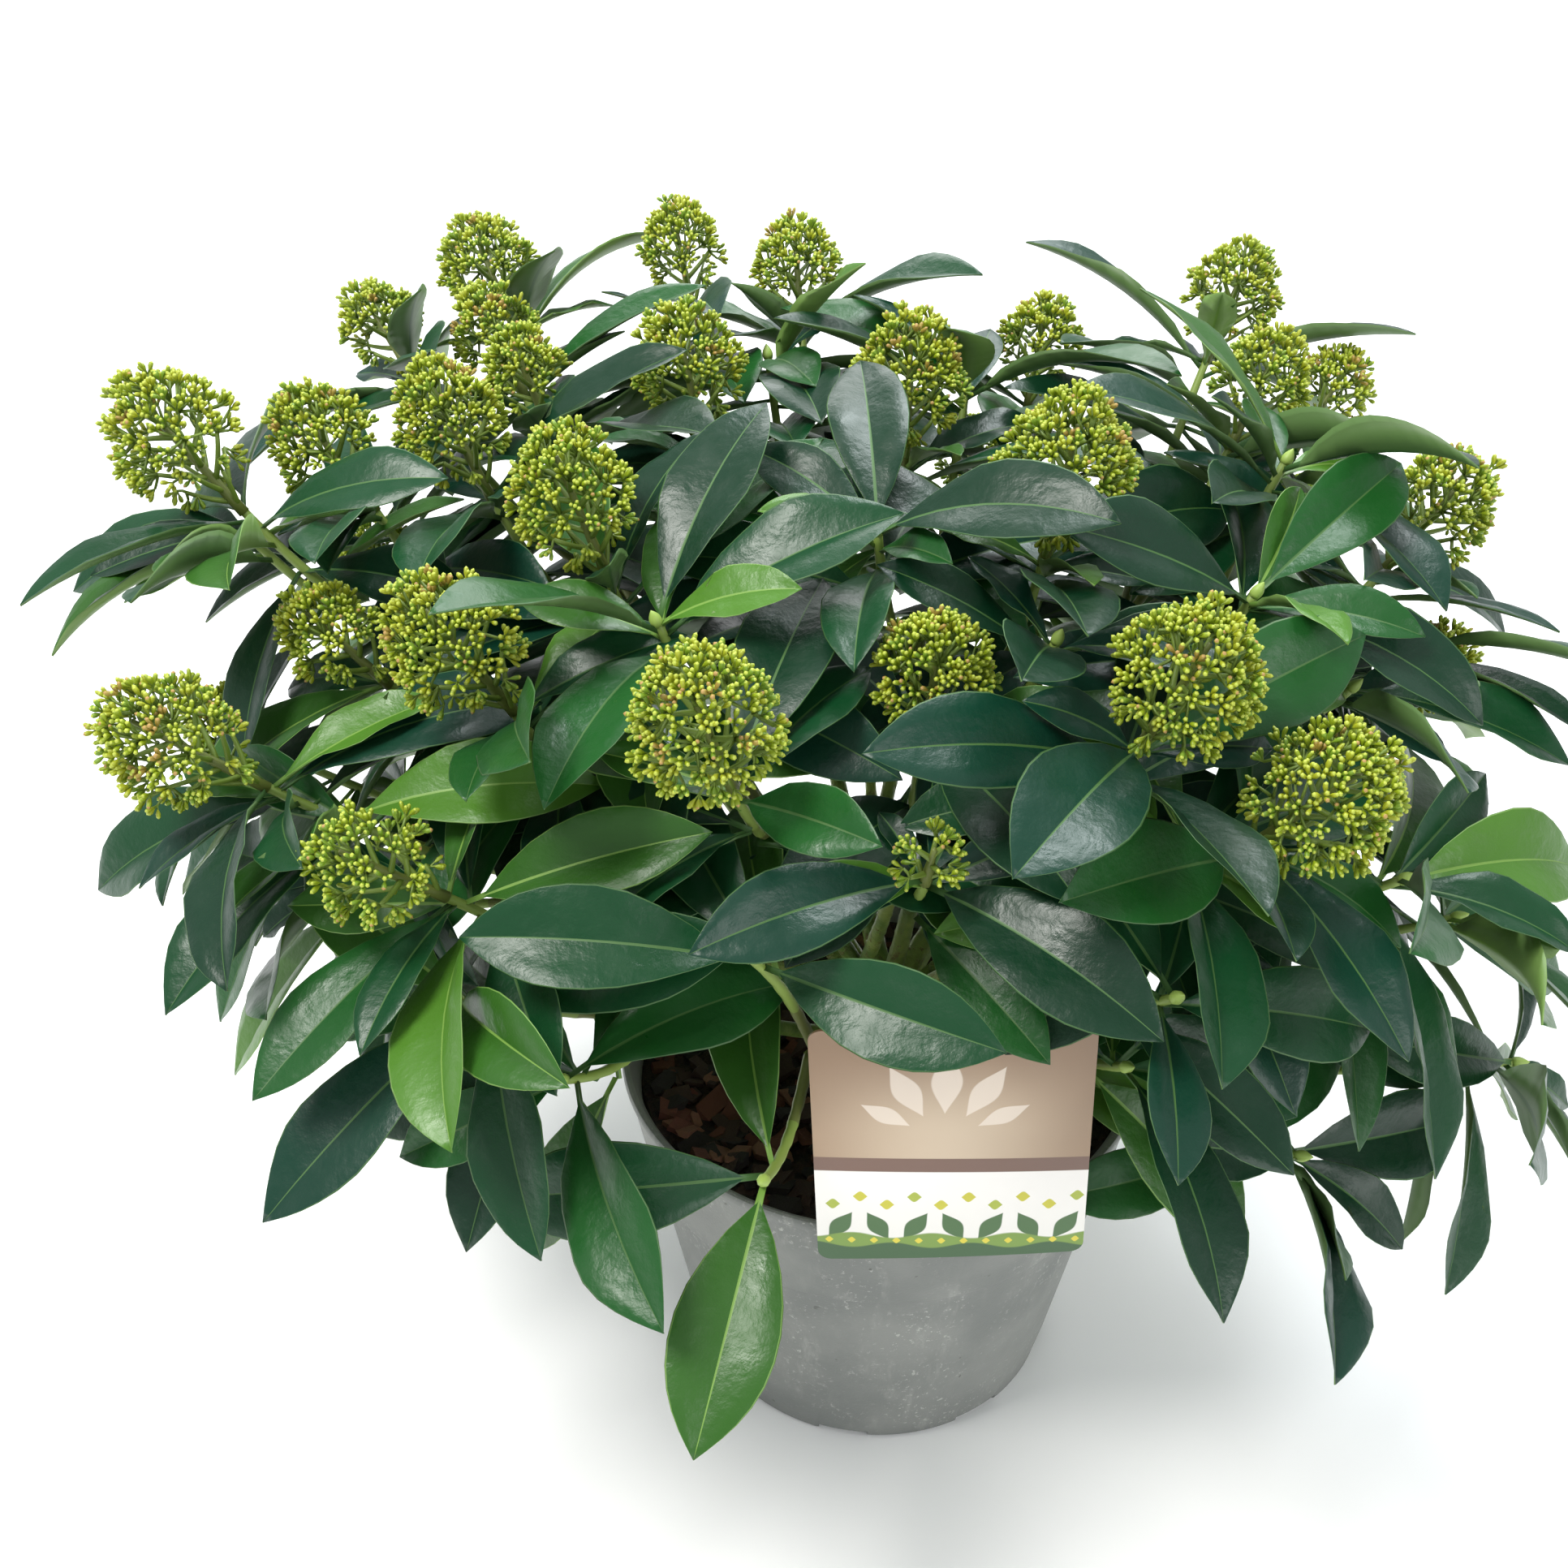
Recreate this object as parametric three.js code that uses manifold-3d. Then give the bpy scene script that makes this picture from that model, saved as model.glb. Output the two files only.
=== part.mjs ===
// A skimmia in bud: a low, wide evergreen shrub in a round nursery pot, with a card hooked on the rim.
// Millimetres, +Z up. The origin is the middle of the pot's flat underside, and -Y is the front.

import * as THREE from "three";
import { mergeVertices } from "three/addons/utils/BufferGeometryUtils.js";
import Module from "manifold-3d";

const wasm = await Module();
wasm.setup();

// ---- Driving sizes ----

const GAP = 0.3; // between two pieces that touch
const SPECK = 0.3; // the least detail that a join keeps

const POT = { height: 160, rim: 110, base: 79, wall: 3, floor: 7, sides: 36 };
const BAND = { height: 50, step: 1.4 }; // the thicker collar below the rim
const LIP = { proud: 1.5, depth: 3.5, soft: 0.8 }; // the bead round the rim
const NOTCH = { count: 8, width: 22, height: 5, depth: 5 }; // drain notches round the foot
const SOIL = { top: 145, sides: 24, rings: 5, mound: 2.2, calm: 26 }; // level within calm of the middle

const CARD = { width: 100, height: 118, thick: 1, corner: 5, middle: 22, foot: 150, turn: 2.5, lean: 3 };
const TONGUE = { width: 26, root: 186, tip: 149, thick: 1, inset: 10.5 }; // inset from the inner wall
const VIEW = { depth: 130, rise: 80, side: 0, top: 14 }; // the space before the card that leaves leave open

const TRUNK = { foot: 17, waist: 9.5, top: 7.5, height: 46, lean: [2, -4], lobes: 5, sides: 15 };
const BOUGH = { sides: 6, steps: 4, tip: 2.5, reach: 0.5, arch: 0.13 };
const TWIG = { steps: 3, root: 2.3, tip: 1.7, stemSides: 5, stemReach: 0.3, bud: 5 };
const HEAD = { sides: 6, seat: 0.63, wide: 0.47, tall: 0.61, lump: 0.07 }; // by the head's width
const LEAF = {
  length: 94,
  slim: 0.37, // width by length
  thick: 2.6, // at the middle of the rib
  root: 2.4, // where it sits in the twig
  fold: 13, // degrees that each half is lifted
  droop: 38, // degrees that the blade bends along its length
  rise: 32, // degrees above level that a leaf points at most
  shoulder: 335, // the height from which leaves may stand up more
  perUp: 0.55, // degrees more for each mm above it, on a leaf that points to the back
  stations: [0.3, 0.72],
};
const TURN = 137.5; // degrees from each leaf to the next one down the shoot
const LEAN = { perOut: 0.136, low: 55, rise: 280, most: 80 }; // a shoot leans more far out and low down
// How many leaves a shoot has, how far up its tuft starts, and how far down the twig it runs.
const TUFT = { underHead: { leaves: 7, top: 2, run: 26 }, leafy: { leaves: 8, top: 3, run: 20 } };
const SKIRT = { first: 112, last: 248, count: 5, out: 272, narrow: 228 }; // bearings, and how far out
const OPEN = { top: 48, more: 44 }; // degrees between leaf and shoot at the tuft's top, and more below

// A shoot is [bearing, out, up, bloom]: degrees from the front towards +X, distance from the pot's axis,
// height, and the width of its flower head. A leafy shoot has no head. The place is the head's middle.
// A fifth number, where there is one, turns the shoot's first leaf from straight out, and a sixth is how
// many leaves it has.
const BOUGHS = [
  { name: "left", from: "trunk", at: 0.7, radius: 4.6, shoots: [[-71, 160, 378, 54], [-85, 202, 363, 42],
    [-75, 255, 348, 54], [-73, 203, 312, 0], [-84, 214, 258, 0]] },
  { name: "right", from: "trunk", at: 0.62, radius: 4.6, shoots: [[104, 216, 380, 50], [98, 205, 335, 0],
    [87, 167, 335, 0], [81, 125, 379, 0], [111, 160, 396, 0]] },
  { name: "front", from: "trunk", at: 0.8, radius: 4, shoots: [[-30, 130, 383, 56], [-65, 92, 378, 0]] },
  { name: "front_right", from: "trunk", at: 0.72, radius: 4.4, shoots: [[41, 129, 390, 56],
    [50, 170, 354, 56], [46, 133, 322, 0]] },
  { name: "back_left", from: "trunk", at: 0.78, radius: 4.8, shoots: [[-142, 280, 420, 50],
    [-133, 302, 400, 42], [-135, 229, 411, 44], [-128, 183, 411, 40]] },
  { name: "back_right", from: "trunk", at: 0.8, radius: 4.8, shoots: [[144, 276, 407, 50],
    [132, 269, 377, 44], [130, 204, 401, 46]] },
  { name: "back", from: "trunk", at: 0.95, radius: 4.6, shoots: [[-160, 257, 422, 46],
    [-171, 223, 420, 46], [-144, 135, 414, 52], [-164, 172, 398, 0]] },
  { name: "centre", from: "trunk", at: 1, radius: 4, shoots: [[85, 57, 420, 56], [-40, 12, 398, 0],
    [52, 66, 372, 0]] },
  { name: "centre_front", from: "front", at: 0.3, radius: 3.2, shoots: [[8, 66, 374, 48],
    [3, 119, 337, 30]] },
  { name: "centre_back", from: "back", at: 0.3, radius: 3.4, shoots: [[175, 93, 416, 52],
    [160, 215, 392, 44], [166, 146, 392, 0]] },
  { name: "upper_left", from: "back_left", at: 0.35, radius: 3.4, shoots: [[-87, 114, 411, 52],
    [-111, 179, 410, 50]] },
  { name: "far_left", from: "left", at: 0.3, radius: 3.6, shoots: [[-98, 266, 415, 54],
    [-106, 224, 403, 48], [-99, 243, 372, 0]] },
  { name: "low_left", from: "trunk", at: 0.3, radius: 3.6, shoots: [[-53, 187, 274, 0],
    [-43, 168, 248, 0], [-58, 205, 327, 48]] },
  { name: "low_front", from: "trunk", at: 0.42, radius: 3.4, shoots: [[-18, 151, 222, 0, 0],
    [-21, 142, 308, 0, 150, 4]] },
  { name: "low_front_right", from: "trunk", at: 0.4, radius: 3.4, shoots: [[35, 134, 242, 0, 345, 5],
    [30, 165, 300, 0, 154, 4]] },
  { name: "low_right", from: "trunk", at: 0.24, radius: 3.6, shoots: [[57, 177, 187, 0],
    [81, 252, 182, 0]] },
  { name: "outer_right", from: "right", at: 0.25, radius: 3.4, shoots: [[67, 189, 296, 0],
    [80, 215, 252, 0]] },
  ...backSkirt(),
];

// The low boughs behind: evenly spread, each with two heads over a leafy shoot. The first, on the
// crown's narrow side, is shorter.
function backSkirt() {
  const { first, last, count } = SKIRT;
  return Array.from({ length: count }, (_, i) => {
    const b = first + ((last - first) * i) / (count - 1);
    const out = i ? SKIRT.out : SKIRT.narrow;
    const shoots = [[b - 11, out - 10, 316, 42], [b + 12, out, 286, 40], [b, out - 47, 232, 0]];
    return { name: "skirt_" + (i + 1), from: "trunk", at: i % 2 ? 0.46 : 0.3, radius: 3.4, shoots };
  });
}

// ---- Small tools ----

const rad = THREE.MathUtils.degToRad;
const UP = new THREE.Vector3(0, 0, 1);

// A seeded run of numbers from 0 to 1.
function dice(seed) {
  let state = seed;
  const draw = () => {
    state = (state * 1664525 + 1013904223) % 4294967296;
    return state / 4294967296;
  };
  for (let i = 0; i < 3; i++) draw();
  return (low, high) => low + (high - low) * draw();
}

const outward = (bearing) => new THREE.Vector3(Math.sin(rad(bearing)), -Math.cos(rad(bearing)), 0);

// a + b * k
const along = (a, b, k) => a.clone().addScaledVector(b, k);

// A closed solid from corners and triangles, turned the right way out.
function solid(corners, faces) {
  const make = (f) =>
    new wasm.Manifold(
      new wasm.Mesh({
        numProp: 3,
        vertProperties: new Float32Array(corners.flatMap((p) => [p.x, p.y, p.z])),
        triVerts: new Uint32Array(f.flat()),
      }),
    );
  const made = make(faces);
  return made.volume() > 0 ? made : make(faces.map(([a, b, c]) => [a, c, b]));
}

// A closed solid from a three.js geometry.
function solidOf(geometry) {
  const bare = geometry.clone();
  bare.deleteAttribute("normal");
  bare.deleteAttribute("uv");
  const { index, attributes } = mergeVertices(bare, 1e-3);
  const place = attributes.position;
  const corners = Array.from({ length: place.count }, (_, i) =>
    new THREE.Vector3().fromBufferAttribute(place, i));
  const faces = [];
  for (let i = 0; i < index.count; i += 3) {
    const f = [index.getX(i), index.getX(i + 1), index.getX(i + 2)];
    if (new Set(f).size === 3) faces.push(f);
  }
  return solid(corners, faces);
}

const largest = (made) => made.decompose().reduce((a, b) => (a.volume() > b.volume() ? a : b));

// One clean body: sealed hollows are filled, loose scraps dropped, and the specks of faces that a join
// leaves taken out.
const tidy = (made) => largest(largest(made).asOriginal().simplify(SPECK));

// A named mesh of one piece.
function piece(name, made, colour, roughness) {
  const { vertProperties, triVerts } = made.getMesh();
  const geometry = new THREE.BufferGeometry();
  geometry.setAttribute("position", new THREE.BufferAttribute(vertProperties, 3));
  geometry.setIndex(new THREE.BufferAttribute(triVerts, 1));
  geometry.computeVertexNormals();
  const material = new THREE.MeshStandardMaterial({ color: colour, roughness, metalness: 0 });
  const mesh = new THREE.Mesh(geometry, material);
  mesh.name = name;
  return mesh;
}

// A closed tube of rings along a curve. radiusAt(t) gives its radius, and grow swells it all round.
function limb(curve, radiusAt, sides, steps, grow = 0) {
  const corners = [];
  const faces = [];
  let across = null;
  for (let i = 0; i <= steps; i++) {
    const t = i / steps;
    const ahead = curve.getTangent(t);
    if (!across) across = Math.abs(ahead.z) < 0.9 ? UP.clone() : new THREE.Vector3(1, 0, 0);
    across = along(across, ahead, -across.dot(ahead)).normalize();
    const over = ahead.clone().cross(across);
    const end = i === 0 ? -grow : i === steps ? grow : 0;
    const middle = along(curve.getPoint(t), ahead, end);
    for (let j = 0; j < sides; j++) {
      const a = (2 * Math.PI * j) / sides;
      const r = radiusAt(t, a) + grow;
      corners.push(along(along(middle, across, r * Math.cos(a)), over, r * Math.sin(a)));
    }
  }
  for (let i = 0; i < steps; i++) {
    for (let j = 0; j < sides; j++) {
      const [a, b] = [i * sides + j, i * sides + ((j + 1) % sides)];
      faces.push([a, b, b + sides], [a, b + sides, a + sides]);
    }
  }
  const last = steps * sides;
  for (let j = 1; j < sides - 1; j++) {
    faces.push([0, j + 1, j], [last, last + j, last + j + 1]);
  }
  return solid(corners, faces);
}

// ---- Pot, soil and card ----

function wallRadius(height) {
  return POT.base + ((POT.rim - LIP.proud - POT.base) * height) / POT.height;
}

function potSolid() {
  const shoulder = POT.height - BAND.height;
  const inside = (height) => wallRadius(height) - POT.wall;
  const profile = [
    [0, 0],
    [POT.base - 2, 0],
    [POT.base, 1.5],
    [wallRadius(shoulder - 1), shoulder - 1],
    [wallRadius(shoulder) + BAND.step, shoulder + 1],
    [wallRadius(POT.height - LIP.depth) + LIP.proud / 2, POT.height - LIP.depth - LIP.proud],
    [POT.rim, POT.height - LIP.depth],
    [POT.rim, POT.height - LIP.soft],
    [POT.rim - LIP.soft, POT.height],
    [POT.rim - POT.wall, POT.height],
    [inside(POT.height - POT.wall), POT.height - POT.wall],
    [inside(POT.floor + POT.wall), POT.floor + POT.wall],
    [inside(POT.floor) - POT.wall, POT.floor],
    [0, POT.floor],
  ];
  const turned = new THREE.LatheGeometry(profile.map(([r, h]) => new THREE.Vector2(r, h)), POT.sides);
  let made = solidOf(turned.rotateX(Math.PI / 2));
  for (let i = 0; i < NOTCH.count; i++) {
    const box = new THREE.BoxGeometry(NOTCH.width, 4 * NOTCH.depth, 2 * NOTCH.height);
    box.translate(0, -(POT.base + NOTCH.depth), 0);
    box.rotateZ(rad((i + 0.75) * (360 / NOTCH.count)));
    made = made.subtract(solidOf(box));
  }
  return tidy(made);
}

// The plug of soil, with a low, uneven top.
function soilSolid() {
  const wall = (height) => wallRadius(height) - POT.wall - 2 * GAP;
  const foot = POT.floor + GAP;
  const profile = [[0, foot], [wall(foot) - 4, foot], [wall(foot + 4), foot + 4],
    [wall(SOIL.top - 3), SOIL.top - 3]];
  for (let i = 0; i <= SOIL.rings; i++) {
    profile.push([(wall(SOIL.top) - 3) * (1 - i / SOIL.rings), SOIL.top]);
  }
  const plug = new THREE.LatheGeometry(profile.map(([r, h]) => new THREE.Vector2(r, h)), SOIL.sides);
  plug.rotateX(Math.PI / 2);
  const place = plug.attributes.position;
  for (let i = 0; i < place.count; i++) {
    const [x, y, z] = [place.getX(i), place.getY(i), place.getZ(i)];
    const out = Math.hypot(x, y);
    if (z < SOIL.top - 1 || out < SOIL.calm) continue;
    place.setZ(i, z + SOIL.mound * Math.sin(x / 11 + 1) * Math.sin(y / 9 + 2));
  }
  return solidOf(plug);
}

function plate(width, height, corner, thick) {
  const [w, h] = [width / 2, height];
  const outline = new THREE.Shape();
  outline.moveTo(-w + corner, 0);
  outline.lineTo(w - corner, 0);
  outline.absarc(w - corner, corner, corner, -Math.PI / 2, 0);
  outline.absarc(w - corner, h - corner, corner, 0, Math.PI / 2);
  outline.absarc(-w + corner, h - corner, corner, Math.PI / 2, Math.PI);
  outline.absarc(-w + corner, corner, corner, Math.PI, 1.5 * Math.PI);
  return new THREE.ExtrudeGeometry(outline, { depth: thick, bevelEnabled: false, curveSegments: 4 });
}

// The card stands against the outside of the rim, and the tongue behind it goes down inside the wall.
function cardSolid() {
  const back = -(POT.rim + GAP); // the card's back lies against the rim here
  const card = plate(CARD.width, CARD.height, CARD.corner, CARD.thick);
  card.rotateX(Math.PI / 2 + rad(CARD.lean));
  card.rotateY(rad(-CARD.turn));
  card.translate(CARD.middle, back + rad(CARD.lean) * (POT.height - CARD.foot), CARD.foot);
  const inner = -(POT.rim - POT.wall) + TONGUE.inset;
  const lean = Math.tan(rad(CARD.lean));
  const front = (height) => back - lean * (height - POT.height) - CARD.thick / 2;
  const side = new THREE.Shape();
  side.moveTo(front(TONGUE.root), TONGUE.root);
  side.lineTo(inner, POT.height + 8);
  side.lineTo(inner, TONGUE.tip);
  side.lineTo(inner + TONGUE.thick, TONGUE.tip);
  side.lineTo(inner + TONGUE.thick, POT.height + 9);
  side.lineTo(front(TONGUE.root + 2), TONGUE.root + 2);
  const tongue = new THREE.ExtrudeGeometry(side, { depth: TONGUE.width, bevelEnabled: false });
  // The drawn side (depth, height) becomes (Y, Z), and the extrusion runs along X.
  tongue.applyMatrix4(new THREE.Matrix4().set(0, 0, 1, 0, 1, 0, 0, 0, 0, 1, 0, 0, 0, 0, 0, 1));
  tongue.translate(CARD.middle - TONGUE.width / 2, 0, 0);
  return tidy(solidOf(card).add(solidOf(tongue)));
}

// The card is there to be read, so no leaf grows into the slanting space between it and the eye.
function cardView() {
  const [left, right] = [-1, 1].map((k) => CARD.middle + k * (CARD.width / 2 - VIEW.side));
  const [low, high] = [CARD.foot, CARD.foot + CARD.height - VIEW.top];
  const front = -(POT.rim + 10);
  const corners = [];
  for (const [out, lift] of [[0, 0], [VIEW.depth, VIEW.rise]]) {
    for (const [x, z] of [[left, low], [right, low], [right, high], [left, high]]) {
      corners.push(new THREE.Vector3(x, front - out, z + lift));
    }
  }
  const faces = [[0, 1, 2], [0, 2, 3], [4, 6, 5], [4, 7, 6]];
  for (let j = 0; j < 4; j++) {
    const k = (j + 1) % 4;
    faces.push([j, j + 4, k + 4], [j, k + 4, k]);
  }
  return solid(corners, faces);
}

// ---- Trunk and boughs ----

const ground = SOIL.top + GAP;
const trunkLine = new THREE.QuadraticBezierCurve3(
  new THREE.Vector3(0, 0, ground),
  new THREE.Vector3(0, 0, ground + TRUNK.height / 2),
  new THREE.Vector3(TRUNK.lean[0], TRUNK.lean[1], ground + TRUNK.height),
);

// The short trunk flares in lobes at its foot and tapers to its fork.
function trunkRadius(t, angle) {
  const flare = Math.max(0, 1 - t / 0.35) ** 2;
  const lobe = 1 + 0.16 * flare * Math.cos(TRUNK.lobes * angle);
  return (TRUNK.waist + (TRUNK.top - TRUNK.waist) * t + (TRUNK.foot - TRUNK.waist) * flare) * lobe;
}

const trunkSolid = (grow) => limb(trunkLine, trunkRadius, TRUNK.sides, 6, grow);

// Where a shoot's head or leaf tuft sits, which way it grows, and the foot of its tuft of leaves.
function shootFrame([bearing, out, up, bloom]) {
  const radial = outward(bearing);
  const rise = (up - SOIL.top) / LEAN.rise;
  const lean = rad(Math.min(LEAN.most, LEAN.perOut * out + LEAN.low * (1 - rise)));
  const axis = radial.clone().multiplyScalar(Math.sin(lean)).addScaledVector(UP, Math.cos(lean));
  const out90 = radial.clone().multiplyScalar(Math.cos(lean)).addScaledVector(UP, -Math.sin(lean));
  const side = UP.clone().cross(radial);
  const head = radial.clone().multiplyScalar(out).setZ(up);
  return { axis, out90, side, head, tuft: along(head, axis, -HEAD.seat * bloom) };
}

function middleOf(points) {
  const sum = points.reduce((a, b) => a.add(b), new THREE.Vector3());
  return sum.divideScalar(points.length);
}

// A bough's line rises and spreads from its parent to the fork under its shoots.
function boughLine(bough, lines) {
  const start = lines[bough.from].getPoint(bough.at);
  const target = middleOf(bough.frames.map((f) => f.tuft.clone()));
  const fork = start.clone().lerp(target, BOUGH.reach);
  const length = start.distanceTo(fork);
  const steep = (fork.z - start.z) / length;
  const bend = along(middleOf([start.clone(), fork.clone()]), UP, BOUGH.arch * length * (1 - 1.6 * steep));
  return new THREE.QuadraticBezierCurve3(start, bend, fork);
}

const boughRadius = (bough) => (t) => bough.radius + (BOUGH.tip - bough.radius) * t;

// ---- Foliage ----

// A leaf blade: a folded lens on an arc, six-sided in outline. from cuts off its foot, and swell
// thickens it all round.
function leafSolid(leaf, from = 0, swell = 0) {
  const bend = rad(leaf.droop);
  const run = leaf.length / bend;
  const at = (s) => {
    const a = bend * s;
    const point = along(along(leaf.foot, leaf.ahead, run * Math.sin(a)), leaf.face, -run * (1 - Math.cos(a)));
    const face = leaf.face.clone().multiplyScalar(Math.cos(a)).addScaledVector(leaf.ahead, Math.sin(a));
    return { point, face };
  };
  const corners = [];
  const pair = ({ point, face }, half) => corners.push(along(point, face, half), along(point, face, -half));
  pair(at(from), LEAF.root / 2 + swell);
  pair(at(0.5), LEAF.thick / 2 + swell);
  for (const s of LEAF.stations) {
    const { point, face } = at(s);
    const wide = (leaf.length * LEAF.slim) / 2 + swell;
    const edge = along(point, face, Math.sin(rad(LEAF.fold)) * wide);
    const reach = Math.cos(rad(LEAF.fold)) * wide;
    corners.push(along(edge, leaf.side, -reach), along(edge, leaf.side, reach));
  }
  corners.push(at(1 + swell / leaf.length).point);
  const [footTop, footLow, top, low, left1, right1, left2, right2, tip] = [0, 1, 2, 3, 4, 5, 6, 7, 8];
  const ring = [footTop, left1, left2, tip, right2, right1, footTop];
  const faces = [];
  for (let i = 0; i < 6; i++) faces.push([top, ring[i], ring[i + 1]]);
  ring[0] = ring[6] = footLow;
  for (let i = 0; i < 6; i++) faces.push([low, ring[i + 1], ring[i]]);
  faces.push([footTop, footLow, left1], [footLow, footTop, right1]);
  return solid(corners, faces);
}

// Changes of heading and lift in degrees, and of length, tried in turn until a leaf finds room.
const TRIES = [[0, 0, 1], [12, -8, 1], [-12, -8, 1], [0, 14, 1], [24, 6, 1], [-24, 6, 1], [15, -22, 1],
  [-15, -22, 1], [0, -30, 0.95], [34, -10, 0.95], [-34, -10, 0.95], [0, 28, 0.9], [18, -5, 0.75],
  [-18, -5, 0.75], [0, -28, 0.75], [40, -20, 0.75], [-40, -20, 0.75]];

// The leaves of one shoot, from the top of its tuft down, each with every place that it may take.
function leafPlans(shoot, frame, number) {
  const random = dice(977 * (number + 1));
  const tuft = shoot[3] ? TUFT.underHead : TUFT.leafy;
  const count = shoot[5] ?? tuft.leaves;
  const start = shoot[4] ?? random(0, 360);
  return Array.from({ length: count }, (_, i) => {
    const depth = i / (count - 1);
    const turn = start + TURN * i + random(-14, 14);
    const open = OPEN.top + OPEN.more * depth + random(-9, 9);
    const grown = 0.84 + 0.2 * Math.sin(Math.PI * (0.25 + 0.6 * depth)) + random(-0.07, 0.07);
    const length = LEAF.length * grown;
    const droop = LEAF.droop * random(0.55, 1.35);
    const roll = rad(random(-16, 16));
    const foot = along(frame.tuft, frame.axis, tuft.top - tuft.run * depth);
    return TRIES.map(([swing, lift, size]) =>
      leafPlace(frame, foot, turn + swing, open + lift, length * size, droop, roll));
  });
}

// How far a leaf has to open from its shoot to rise no more than LEAF.rise above level.
function leastOpen(heading, axis, height) {
  const back = 0.5 + 0.5 * heading.y;
  const rise = LEAF.rise + LEAF.perUp * back * Math.max(0, height - LEAF.shoulder);
  const most = Math.sin(rad(rise)) / Math.hypot(heading.z, axis.z);
  return most < 1 ? Math.atan2(heading.z, axis.z) + Math.acos(most) : 0;
}

function leafPlace(frame, foot, turn, open, length, droop, roll) {
  const heading = frame.out90.clone().multiplyScalar(Math.cos(rad(turn)))
    .addScaledVector(frame.side, Math.sin(rad(turn)));
  const opened = Math.max(rad(open), leastOpen(heading, frame.axis, foot.z));
  const ahead = heading.clone().multiplyScalar(Math.sin(opened))
    .addScaledVector(frame.axis, Math.cos(opened));
  const flat = frame.axis.clone().multiplyScalar(Math.sin(opened))
    .addScaledVector(heading, -Math.cos(opened));
  const square = ahead.clone().cross(flat);
  const face = flat.clone().multiplyScalar(Math.cos(roll)).addScaledVector(square, Math.sin(roll));
  const side = ahead.clone().cross(face);
  const hang = THREE.MathUtils.clamp(1 + 0.9 * ahead.z, 0.2, 1); // a blade that hangs bends less
  return { foot, ahead, face, side, length, droop: Math.max(6, droop * hang) };
}

// A flower head: a lumpy dome on its twig.
function headSolid(frame, bloom, random) {
  const dome = new THREE.SphereGeometry(1, HEAD.sides, 4);
  dome.rotateX(Math.PI / 2);
  const place = dome.attributes.position;
  const phase = random(0, 6);
  const point = new THREE.Vector3();
  for (let i = 0; i < place.count; i++) {
    point.fromBufferAttribute(place, i);
    const angle = Math.atan2(point.y, point.x);
    const lump = 1 + HEAD.lump * Math.sin(3 * angle + phase) * Math.hypot(point.x, point.y);
    const pinch = point.z < -0.3 ? 0.82 : 1;
    const spread = lump * pinch * bloom * HEAD.wide;
    const { x, y, z } = point;
    point.copy(frame.head).addScaledVector(frame.out90, x * spread).addScaledVector(frame.side, y * spread)
      .addScaledVector(frame.axis, z * bloom * HEAD.tall);
    place.setXYZ(i, point.x, point.y, point.z);
  }
  return solidOf(dome);
}

// What stands in the crown so far: solids with their boxes and owners.
const standing = [];

function stand(made, owner) {
  const { min, max } = made.boundingBox();
  standing.push({ made, owner, min, max });
}

// Whether a solid touches anything that stands and that matters.
function touches(made, matters) {
  const { min, max } = made.boundingBox();
  return standing.some((s) => {
    if (!matters(s) || [0, 1, 2].some((k) => s.min[k] > max[k] || s.max[k] < min[k])) return false;
    const common = made.intersect(s.made);
    const hit = !common.isEmpty();
    common.delete();
    return hit;
  });
}

// A twig from the stem to the foot of a shoot's tuft, bowed sideways where another limb is in the way.
function twigSolid(stem, bough, i, owner) {
  const [shoot, frame] = [bough.shoots[i], bough.frames[i]];
  const start = stem.getPoint(bough.shoots.length > 1 ? 1 - (0.4 * i) / (bough.shoots.length - 1) : 1);
  const end = along(frame.tuft, frame.axis, shoot[3] ? 0.2 * shoot[3] : TWIG.bud);
  const reach = start.distanceTo(end);
  for (const bow of [0, 0.1, -0.1, 0.2, -0.2, 0.3, -0.3]) {
    const bend = along(along(frame.tuft, frame.axis, -0.4 * reach), frame.side, bow * reach);
    const curve = new THREE.CubicBezierCurve3(start, start.clone().lerp(bend, 0.5), bend, end);
    const radiusAt = (t) => TWIG.root + (TWIG.tip - TWIG.root) * t;
    const wide = limb(curve, radiusAt, 3, TWIG.steps, GAP);
    if (!touches(wide, (s) => s.owner !== owner)) return limb(curve, radiusAt, 3, TWIG.steps);
  }
  return null;
}

// ---- Assembly ----

const skimmia = new THREE.Group();
const add = (name, made, colour, roughness) => skimmia.add(piece(name, made, colour, roughness));

const potBody = potSolid();
const soilBody = soilSolid();
const cardBody = cardSolid();
const trunkBody = trunkSolid(0);
for (const made of [potBody, soilBody, cardBody, trunkBody, cardView()]) stand(made, "base");
add("pot", potBody, 0x77787a, 0.7);
add("soil", soilBody, 0x2d1d16, 0.95);
add("card", cardBody, 0xcfc6ba, 0.4);
add("trunk", trunkBody, 0x6d6a3c, 0.8);

const lines = { trunk: trunkLine };
const grown = [trunkSolid(GAP)];
for (const bough of BOUGHS) {
  bough.frames = bough.shoots.map(shootFrame);
  lines[bough.name] = boughLine(bough, lines);
  const radiusAt = boughRadius(bough);
  const whole = limb(lines[bough.name], radiusAt, BOUGH.sides, BOUGH.steps);
  const made = tidy(grown.reduce((a, b) => a.subtract(b), whole));
  grown.push(limb(lines[bough.name], radiusAt, BOUGH.sides, BOUGH.steps, GAP));
  stand(made, "bough");
  add("bough_" + bough.name, made, 0x5f7a35, 0.7);
}

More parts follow.
